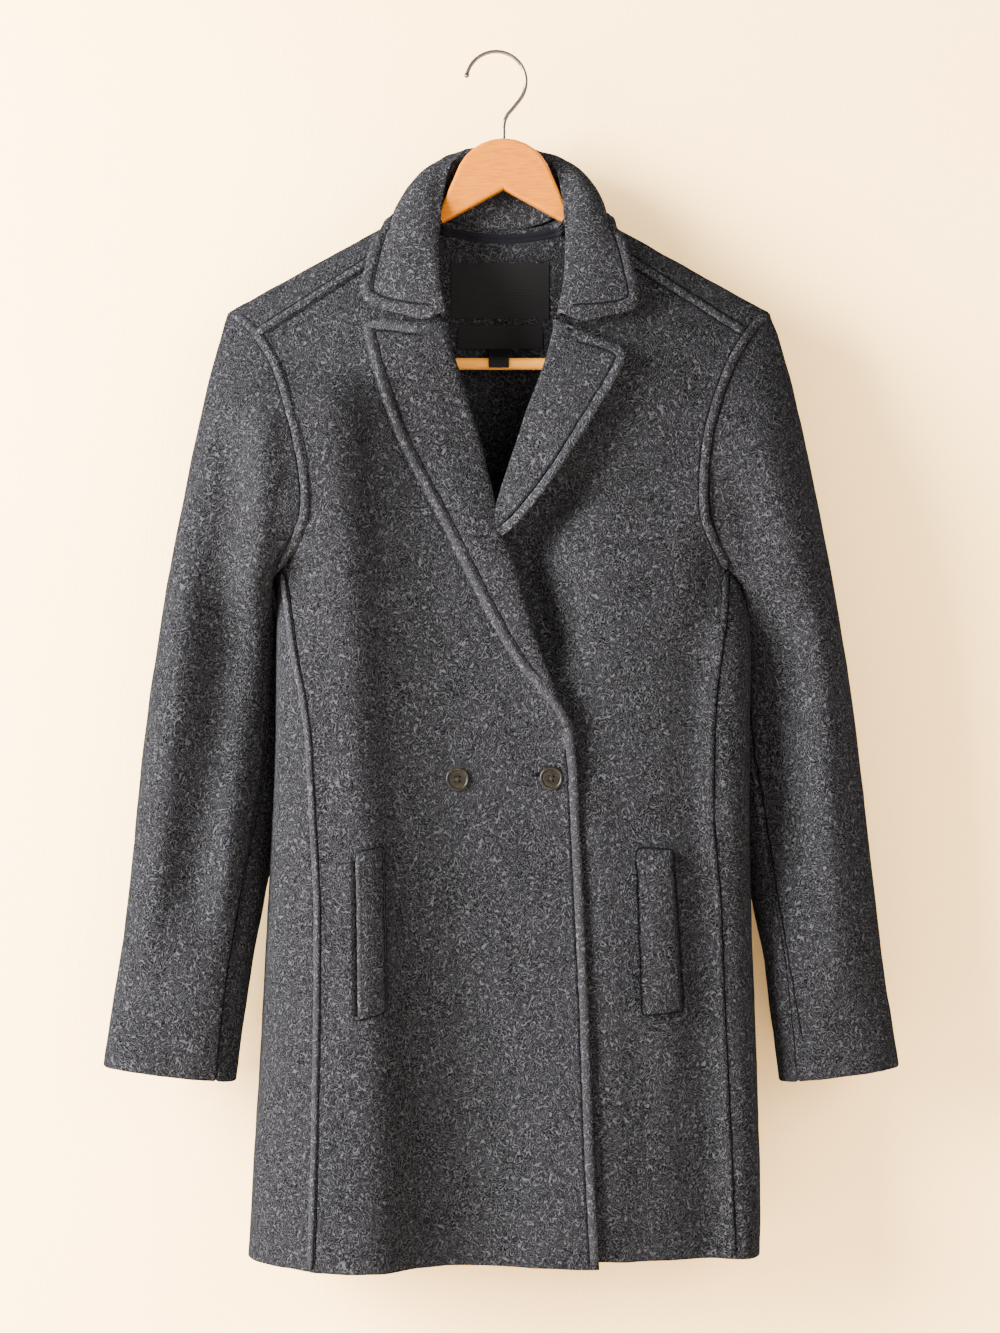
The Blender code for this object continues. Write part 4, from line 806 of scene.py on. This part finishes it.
# Outer edge of the collar's fall from the over front's end round the back of the neck, and which way
# its face looks at each place
FALL_EDGE = (
    (-52, -60, -227), (-72, -56, -226), (-92, -49, -222), (-107, -45, -215), (-113, -42.5, -207),
    (-112, -39, -196), (-108.5, -33, -183), (-105.5, -25, -169), (-101.5, -14, -154), (-97, -1, -142),
    (-90, 11, -138.5), (-79, 24, -144), (-64, 32, -151), (-40, 37, -159), (4, 39, -163), (48, 37, -159),
    (72, 32, -150), (86, 24, -143), (97, 11, -138), (103, -1, -141), (106, -14, -154), (110, -25, -169),
    (113.5, -33, -183), (116.5, -39, -197), (119, -42.5, -209), (117, -45, -217), (105, -49, -223),
    (84, -55, -226), (62, -60, -227),
)
FALL_FACING = (
    (0, -1, 0), (0, -1, 0), (0, -1, 0), (0, -1, 0), (0, -1, 0), (-0.1, -1, 0), (-0.1, -1, 0.1),
    (-0.2, -1, 0.3), (-0.3, -0.8, 0.5), (-0.4, -0.2, 0.9), (-0.4, 0.3, 0.8), (-0.4, 0.6, 0.6),
    (-0.3, 0.8, 0.3), (-0.1, 1, 0.1), (0, 1, 0),
)
# Front seams of the sleeves, from the top down
SLEEVE_FRONT = (
    ("right_top_sleeve", (
        (-192, -560), (-196, -600), (-202, -643), (-209, -690), (-216, -752), (-222, -800), (-225, -838),
    )),
    ("left_top_sleeve", (
        (213, -550), (217, -590), (226, -643), (232, -690), (241, -752), (249, -800), (254, -826),
    )),
)
# Corners of the pocket welts, from the upper outer corner of each round by its inner side
POCKETS = (
    ("right_pocket_welt", ((-117, -670), (-92, -663), (-89, -799), (-115, -805))),
    ("left_pocket_welt", ((144, -667), (114, -665), (119, -804), (153, -800))),
)
# The buttonhole, the middle of the back and the seam of the collar's stand at the back of the neck
BUTTONHOLE = ((29, -607), (33, -605.8), (37, -605), (45, -604.5))
CENTRE_BACK = 6.0
NECK_SEAM = ((-49, -141.5), (-40, -143.5), (-20, -147.5), (5, -149.5), (30, -148), (50, -144), (58, -141.5))


def dress_carried_nodes():
    """Gives the finish to each CAD node that is kept as it is."""
    for node, finish in (
        ("hanger_body", BEECH), ("hanger_bar", BAR_WOOD_PAINTED_LIGHT), ("hanger_hook", STEEL), ("main_label", SATIN),
        ("small_label", SATIN), ("size_tab", SATIN),
    ):
        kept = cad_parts[node]
        for material_slot in kept.material_slots:
            material_slot.material = finish


def painted(name, cloud, tones, rough, dimple):
    """Paint, rolled on: matt and faintly cloudy."""
    made, tree, shader, place = new_material(name)
    cloudy = patches(tree, place, cloud, 0.3, 0.7)
    tone = add(tree, "ShaderNodeValToRGB", {"Fac": cloudy}, stops=tuple(zip((0.0, 1.0), tones)))
    dimples = patches(tree, place, dimple, 0.3, 0.7)
    finish_material(tree, shader, tone.outputs["Color"], rough, dimples, 0.0001)
    return made, tree, shader


def wall_paint():
    """Cream emulsion paint. The backdrop shows from its front only."""
    made, tree, shader = painted("cream_wall_paint", 420.0, ("#f2c886", "#f5cd8c"), 0.9, 3.0)
    clear = add(tree, "ShaderNodeBsdfTransparent")
    facing = add(tree, "ShaderNodeNewGeometry").outputs["Backfacing"]
    both = add(tree, "ShaderNodeMixShader", {0: facing, 1: shader.outputs[0], 2: clear.outputs[0]})
    tree.links.new(both.outputs[0], tree.nodes["Material Output"].inputs["Surface"])
    return made


# Where the backdrop and the floor lie, and the place that the lamps are turned to, in metres
BACKDROP = (0.0, 0.060, -0.5)
FLOOR = (0.0, 0.0, -1.45)
AIM = (0.0, 0.0, -0.5)


def flat_piece(name, size, place, finish, tilt=0.0):
    """A flat piece of the stage."""
    bm = bmesh.new()
    bmesh.ops.create_grid(bm, x_segments=1, y_segments=1, size=size)
    bmesh.ops.rotate(bm, verts=bm.verts, matrix=Matrix.Rotation(math.radians(tilt), 3, "X"))
    bmesh.ops.translate(bm, verts=bm.verts, vec=place)
    return piece_from(bm, name, finish)


def stage():
    """Backdrop and pale floor."""
    wall = flat_piece("wall", 3.0, BACKDROP, wall_paint(), tilt=90.0)
    wall.visible_shadow = False
    wall.visible_diffuse = False
    floor_paint, _, _ = painted("pale_floor", 300.0, ("#ece2d6", "#f1e8dd"), 0.8, 4.0)
    floor = flat_piece("floor", 6.0, FLOOR, floor_paint)


def held(name, data, spot):
    """An object that holds a lamp or a camera at a place."""
    holder = bpy.data.objects.new(name, data)
    bpy.context.scene.collection.objects.link(holder)
    holder.location = spot
    return holder


def light_and_camera():
    """A soft room, a window on the left, weak lamps that fill the shadows, and the camera."""
    world = bpy.data.worlds.new("soft_room")
    bpy.context.scene.world = world
    world.use_nodes = True
    world.node_tree.nodes["Background"].inputs["Color"].default_value = (1.0, 0.93, 0.84, 1.0)
    world.node_tree.nodes["Background"].inputs["Strength"].default_value = 1.0

    for name, spot, size, watts, colour in (
        ("window", (-2.05, -1.15, -0.02), 1.5, 930.0, (1.0, 0.985, 0.97)),
        ("room_fill", (1.7, -2.4, 0.2), 1.8, 155.0, (1.0, 0.96, 0.9)),
        ("camera_side", (0.35, -2.75, -0.1), 0.8, 19.0, (1.0, 0.96, 0.9)),
        ("back_fill", (0.6, 2.6, 0.6), 2.4, 380.0, (1.0, 0.97, 0.93)),
    ):
        lamp = bpy.data.lights.new(name, "AREA")
        lamp.shape = "SQUARE"
        lamp.size = size
        lamp.energy = watts
        lamp.color = colour
        toward = Vector(AIM) - Vector(spot)
        held(name, lamp, spot).rotation_euler = toward.to_track_quat("-Z", "Y").to_euler()

    camera = bpy.data.cameras.new("camera")
    camera.lens = 85.2
    camera.sensor_width = 36.0
    camera.clip_end = 50.0
    holder = held("camera", camera, (0.00295, -2.66, -0.5169))
    holder.rotation_euler = (math.radians(90), 0.0, 0.0)
    bpy.context.scene.camera = holder


# The ways that a line is laid on the cloth
FROM_FRONT = (0.0, 1.0, 0.0)
FROM_BEHIND = (0.0, -1.0, 0.0)


def seam_line(tree, points, toward=FROM_FRONT):
    """A sewn line through (x, z) places, laid on the cloth."""
    return laid_on(tree, eased(evenly([(x, 0.0, z) for x, z in points], 2.0), 4), toward)


def edge_line(tree, points, inset, above=-2000.0, below=0.0):
    """A line inside the edge of the cloth, laid on it. Where the over front's edge turns into its lapel's,
    the cloth changes from the line's left to its right."""
    line = eased(evenly([(x, 0.0, z) for x, z in points], 2.0), 3)
    line = [point for point in line if above < point.z < below]
    turned = [float(ease(BREAK_Z - BREAK_TURN, BREAK_Z + BREAK_TURN, point.z)) for point in line]
    insets = [inset * (2 * share - 1) for share in turned]
    places, outward = laid_on(tree, eased(beside(line, insets), 4), FROM_FRONT)
    return eased(places, 6), outward


def fall_lines(tree, inset):
    """Lines inside the outer edge of the collar's fall, laid on its face, one on each side of the neck."""
    points = eased(evenly(FALL_EDGE, 3.0), 4)
    count = len(points)
    facing = [Vector(row) for row in FALL_FACING]
    facing += [Vector((-row[0], row[1], row[2])) for row in FALL_FACING[-2::-1]]
    guesses = []
    moved = []
    for i, point in enumerate(points):
        place = i / (count - 1) * (len(facing) - 1)
        low = min(int(place), len(facing) - 2)
        guess = facing[low].lerp(facing[low + 1], place - low).normalized()
        along = (points[min(i + 1, count - 1)] - points[max(i - 1, 0)]).normalized()
        guesses.append(guess)
        moved.append(point + along.cross(guess).normalized() * inset)
    places, outward = laid_near(tree, moved, guesses)
    front = [i for i, place in enumerate(places) if place.y < NECK_FRONT]
    half = next(k for k, (a, b) in enumerate(zip(front, front[1:])) if b > a + 1) + 1
    sides = (front[:half], front[half:])
    return [([places[i] for i in side], [outward[i] for i in side]) for side in sides]


def sew_fronts(pieces, welts):
    """Raised seams of the armholes, sides and shoulders, each with painted shade strips along its sunk edges.
    """
    nodes = ("right_front", "left_front", "right_side", "left_side")
    sleeves = ("right_top_sleeve", "left_top_sleeve")
    fronts = faces_of([pieces[node] for node in nodes])
    joined = faces_of([pieces[node] for node in nodes + sleeves + ("right_back", "left_back")])
    for column, front in ((1, "right_front"), (2, "left_front")):
        armhole = [(row[column], row[0]) for row in ARMHOLE]
        side = [(row[column], row[0]) for row in SIDE_FRONT]
        shoulder = SHOULDER[column - 1]
        sunk = [[(x + aside, z) for x, z in armhole[1:]] for aside in (-ARMHOLE_ASIDE, ARMHOLE_ASIDE)]
        sunk += [[(x, z + rise) for x, z in shoulder] for rise in (-SHOULDER_ASIDE, SHOULDER_ASIDE)]
        # Painted highlight: the side welt on the viewer's left, which faces the window, gets the paler wool
        finish = HIGHLIT_WOOL if column == 1 else WOOL
        welts[front] = [
            sewn(f"{front}_armhole_welt", [seam_line(joined, armhole)], ARM_WELT, DIM_HIGHLIGHT_WOOL, sink=0.5),
            sewn(f"{front}_side_welt", [seam_line(fronts, side)], SIDE_WELT, finish),
            sewn(f"{front}_shoulder_welt", [
                seam_line(joined, shoulder)
            ], SHOULDER_WELT, DIM_HIGHLIGHT_WOOL, sink=-0.2),
            # Painted shade: dark strips along the sunk edges of the armhole and shoulder seams
            sewn(f"{front}_seam_grooves", [
                seam_line(joined, line) for line in sunk
            ], GROOVE, STITCH_SHADE_WOOL, wobble=0.25),
            # Painted shade: a dark strip beside the side seam
            sewn(f"{front}_side_groove", [
                seam_line(fronts, [(x + SIDE_ASIDE, z) for x, z in side])
            ], FINE_GROOVE, SHADED, wobble=0.25),
        ]


def sew_edges(pieces, welts):
    """Rolled edges of the lapels and the collar, with a painted highlight, each with its row of stitches
    drawn as a painted shade strip.
    """
    over = faces_of([pieces["right_front"], pieces["right_lapel"]])
    under = faces_of([pieces["left_lapel"]])
    for name, tree, edge in (("right_lapel", over, OVER_EDGE), ("left_lapel", under, UNDER_EDGE)):
        roll = edge_line(tree, edge, ROLL_INSET)
        grooves = [edge_line(tree, edge, GROOVE_INSET, above=BREAK_Z + BREAK_GAP)]
        if edge is OVER_EDGE:
            grooves.append(edge_line(tree, edge, GROOVE_INSET, below=BREAK_Z - BREAK_GAP))
        # Painted highlight on the rolled edges: full on the over front's, weaker on the under lapel's
        section, finish = (ROLL, HIGHLIT_WOOL) if edge is OVER_EDGE else (LOW_ROLL, DIM_HIGHLIGHT_WOOL)
        welts[name] = [
            sewn(f"{name}_rolled_edge", [roll], section, finish, sink=1.5, wobble=0.06),
            # Painted shade: the rows of stitches as dark strips
            sewn(f"{name}_edge_grooves", grooves, GROOVE, STITCH_SHADE_WOOL, wobble=0.25),
        ]
    fall = faces_of([pieces["collar"]])
    rolls = fall_lines(fall, ROLL_INSET)
    grooves = fall_lines(fall, GROOVE_INSET)
    welts["collar"] = [
        sewn("collar_rolled_edge", rolls, LOW_ROLL, DIM_HIGHLIGHT_WOOL, sink=1.0, wobble=0.06),
        # Painted shade: the collar's row of stitches as a dark strip
        sewn("collar_edge_groove", grooves, GROOVE, STITCH_SHADE_WOOL, sink=-0.1, wobble=0.25),
    ]


def sew_small_seams(pieces, welts):
    """Front seams of the sleeves, edges of the pockets and the seam of the centre back."""
    for node, line in SLEEVE_FRONT:
        tree = faces_of([pieces[node]])
        seam = seam_line(tree, line)
        # Painted shade: a dark strip along each sleeve's front seam
        welts[node] = [sewn(f"{node}_seam_groove", [seam], FINE_GROOVE, SHADED, wobble=0.25)]
    for node, corners in POCKETS:
        tree = faces_of([pieces[node], pieces["right_front"], pieces["left_front"]])
        outer = [corners[0], corners[3]]
        round_it = seam_line(tree, corners)
        # Painted shade: the pocket's mouth and the stitched edges round its welt as dark strips
        welts[node] = [
            sewn(f"{node}_mouth", [seam_line(tree, outer)], MOUTH, SHADED, wobble=0.25),
            sewn(f"{node}_stitches", [round_it], FINE_GROOVE, SHADED, sink=-0.45, wobble=0.3),
        ]
        if node == "right_pocket_welt":
            # Painted highlight on the rounded lip beside the right pocket's mouth
            lip = seam_line(tree, [(x + LIP_INSET, z) for x, z in outer])
            welts[node].append(sewn(f"{node}_lip", [lip], LIP, HIGHLIT_WOOL, sink=0.6, wobble=0.15))
    neck = faces_of([pieces["right_back"], pieces["left_back"], pieces["collar"]])
    welts["collar"].append(sewn("neck_seam", [seam_line(neck, NECK_SEAM)], SMALL_WELT, WOOL, sink=0.4))
    binding = [seam_line(neck, [(x, z - drop) for x, z in NECK_SEAM]) for drop in BINDING_ROWS]
    tape = sewn("neck_binding", binding, BINDING, TAPE, "cotton_tape", sink=0.3)
    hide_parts("neck_tape")
    over = faces_of([pieces["right_front"]])
    # Painted shade: the buttonhole as a dark slit strip
    welts["right_front"].append(
        sewn("buttonhole", [seam_line(over, BUTTONHOLE)], SLIT, SHADED, wobble=0.1, taper=2)
    )
    backs = faces_of([pieces["right_back"], pieces["left_back"]])
    middle = [(CENTRE_BACK, z) for z in np.linspace(-150.0, -1007.0, 44)]
    outside = seam_line(backs, middle[1:], FROM_BEHIND)
    # Painted highlight on the outside of the centre back seam
    welts["right_back"] = [
        sewn("centre_back_seam", [outside], SMALL_WELT, HIGHLIT_WOOL, sink=0.9),
        sewn("centre_back_inside", [seam_line(backs, middle)], SMALL_WELT, WOOL, sink=0.9),
    ]


def sew_back(pieces, welts):
    """Flat seams of the back: armholes, side-back seams and the back seams of the sleeves."""
    parts = ("back", "side", "top_sleeve", "under_sleeve")
    for side, column in (("right", 1), ("left", 2)):
        behind = faces_of([pieces[f"{side}_{part}"] for part in parts])
        armhole = [(row[column], row[0]) for row in ARMHOLE[1:]]
        lines = [armhole] + [[(row[column], row[0]) for row in table] for table in (SIDE_BACK, SLEEVE_BACK)]
        welts[f"{side}_side"] = [
            sewn(f"{side}_back_seams", [
                seam_line(behind, line, FROM_BEHIND) for line in lines
            ], SMALL_WELT, WOOL, sink=0.5),
        ]


def sew(pieces):
    """All the seams and edges, by the piece of cloth that each is sewn to."""
    welts = {}
    sew_back(pieces, welts)
    sew_fronts(pieces, welts)
    sew_edges(pieces, welts)
    sew_small_seams(pieces, welts)
    return welts


def button_place(tree, node, turn):
    """Where a button sits, turned about its middle: on the cloth, and facing nearly forward."""
    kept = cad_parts[node]
    corners = [kept.matrix_world @ Vector(corner) for corner in kept.bound_box]
    centre = sum(corners, Vector()) / len(corners)
    hit, normal, _, _ = tree.ray_cast(centre + Vector((0.0, -0.05, 0.0)), Vector(FROM_FRONT))
    normal = -normal if normal.y > 0 else normal
    facing = (normal + Vector((0.0, -1.5, 0.0))).normalized().to_track_quat("Z", "Y").to_matrix()
    lifted = Matrix.Translation(hit + normal * (BUTTON_LIFT * MM))
    return lifted @ facing.to_4x4() @ Matrix.Rotation(turn + math.pi / 4, 4, "Z")


def turned_horn(name):
    """A dished horn button with a raised rim, turned from its half section."""
    bm = bmesh.new()
    ring = [bm.verts.new((radius * MM, 0.0, height * MM)) for radius, height in BUTTON_PROFILE]
    edges = [bm.edges.new(pair) for pair in zip(ring, ring[1:])]
    bmesh.ops.spin(
        bm, geom=ring + edges, cent=(0, 0, 0), axis=(0, 0, 1), angle=2 * math.pi, steps=BUTTON_STEPS,
        use_merge=True,
    )
    bmesh.ops.remove_doubles(bm, verts=bm.verts, dist=0.001 * MM)
    bmesh.ops.recalc_face_normals(bm, faces=bm.faces)
    return piece_from(bm, name, HORN)


def pierce(body):
    """Cuts the four thread holes through a button."""
    for index in range(4):
        angle = index * math.pi / 2
        middle = Vector((math.cos(angle), math.sin(angle), 0.0)) * HOLE_CIRCLE * MM
        hole_bm = bmesh.new()
        bmesh.ops.create_cone(
            hole_bm, cap_ends=True, segments=16, radius1=HOLE_RADIUS * MM, radius2=HOLE_RADIUS * MM,
            depth=8 * MM, matrix=Matrix.Translation(middle),
        )
        cutter = piece_from(hole_bm, f"{body.name}_cutter", HORN)
        hole = body.modifiers.new("hole", "BOOLEAN")
        hole.solver = "EXACT"
        hole.object = cutter
        bpy.context.view_layer.update()
        ready = body.evaluated_get(bpy.context.evaluated_depsgraph_get())
        pierced = bpy.data.meshes.new_from_object(ready)
        body.modifiers.clear()
        body.data = pierced
        bpy.data.objects.remove(cutter, do_unlink=True)


def sewn_thread(name):
    """A cross of thread over the holes of a button, and the shank of thread behind it."""
    bm = bmesh.new()
    up = Vector((0.0, 0.0, 1.0))
    for index in range(2):
        aside = Matrix.Rotation(index * math.pi / 2, 3, "Z") @ Vector((1.0, 0.0, 0.0))
        stitch = [
            aside * (HOLE_CIRCLE * share) + up * (0.3 + 0.75 * (1 - share ** 4))
            for share in np.linspace(-1.0, 1.0, 9)
        ]
        swept(bm, stitch, [up] * len(stitch), oval(0.42, 0.34, 8), wobble=0.1, seed=float(index))
    shank = [up * height for height in (-2.6, -2.0, -1.2, -0.4)]
    swept(bm, shank, [Vector((1.0, 0.0, 0.0))] * len(shank), oval(1.3, 1.3, 10), seed=5.0, taper=1)
    bmesh.ops.recalc_face_normals(bm, faces=bm.faces)
    return piece_from(bm, name, THREAD)


def sew_on_buttons(pieces):
    """Two turned buttons on the over front, each sewn on with thread."""
    tree = faces_of([pieces["right_front"]])
    for node, turn in (("button_inner", 0.06), ("button_outer", -0.12)):
        place = button_place(tree, node, turn)
        body = turned_horn(f"{node}_horn")
        pierce(body)
        body.data.transform(place)
        body.data.shade_smooth()
        body.data.set_sharp_from_angle(angle=math.radians(38))
        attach(body, ROOT)
        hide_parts(node)
        thread = sewn_thread(f"{node}_thread")
        thread.data.transform(place)
        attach(thread, ROOT)


pieces = dress_cloth()
sew(pieces)
sew_on_buttons(pieces)
dress_carried_nodes()
stage()
light_and_camera()
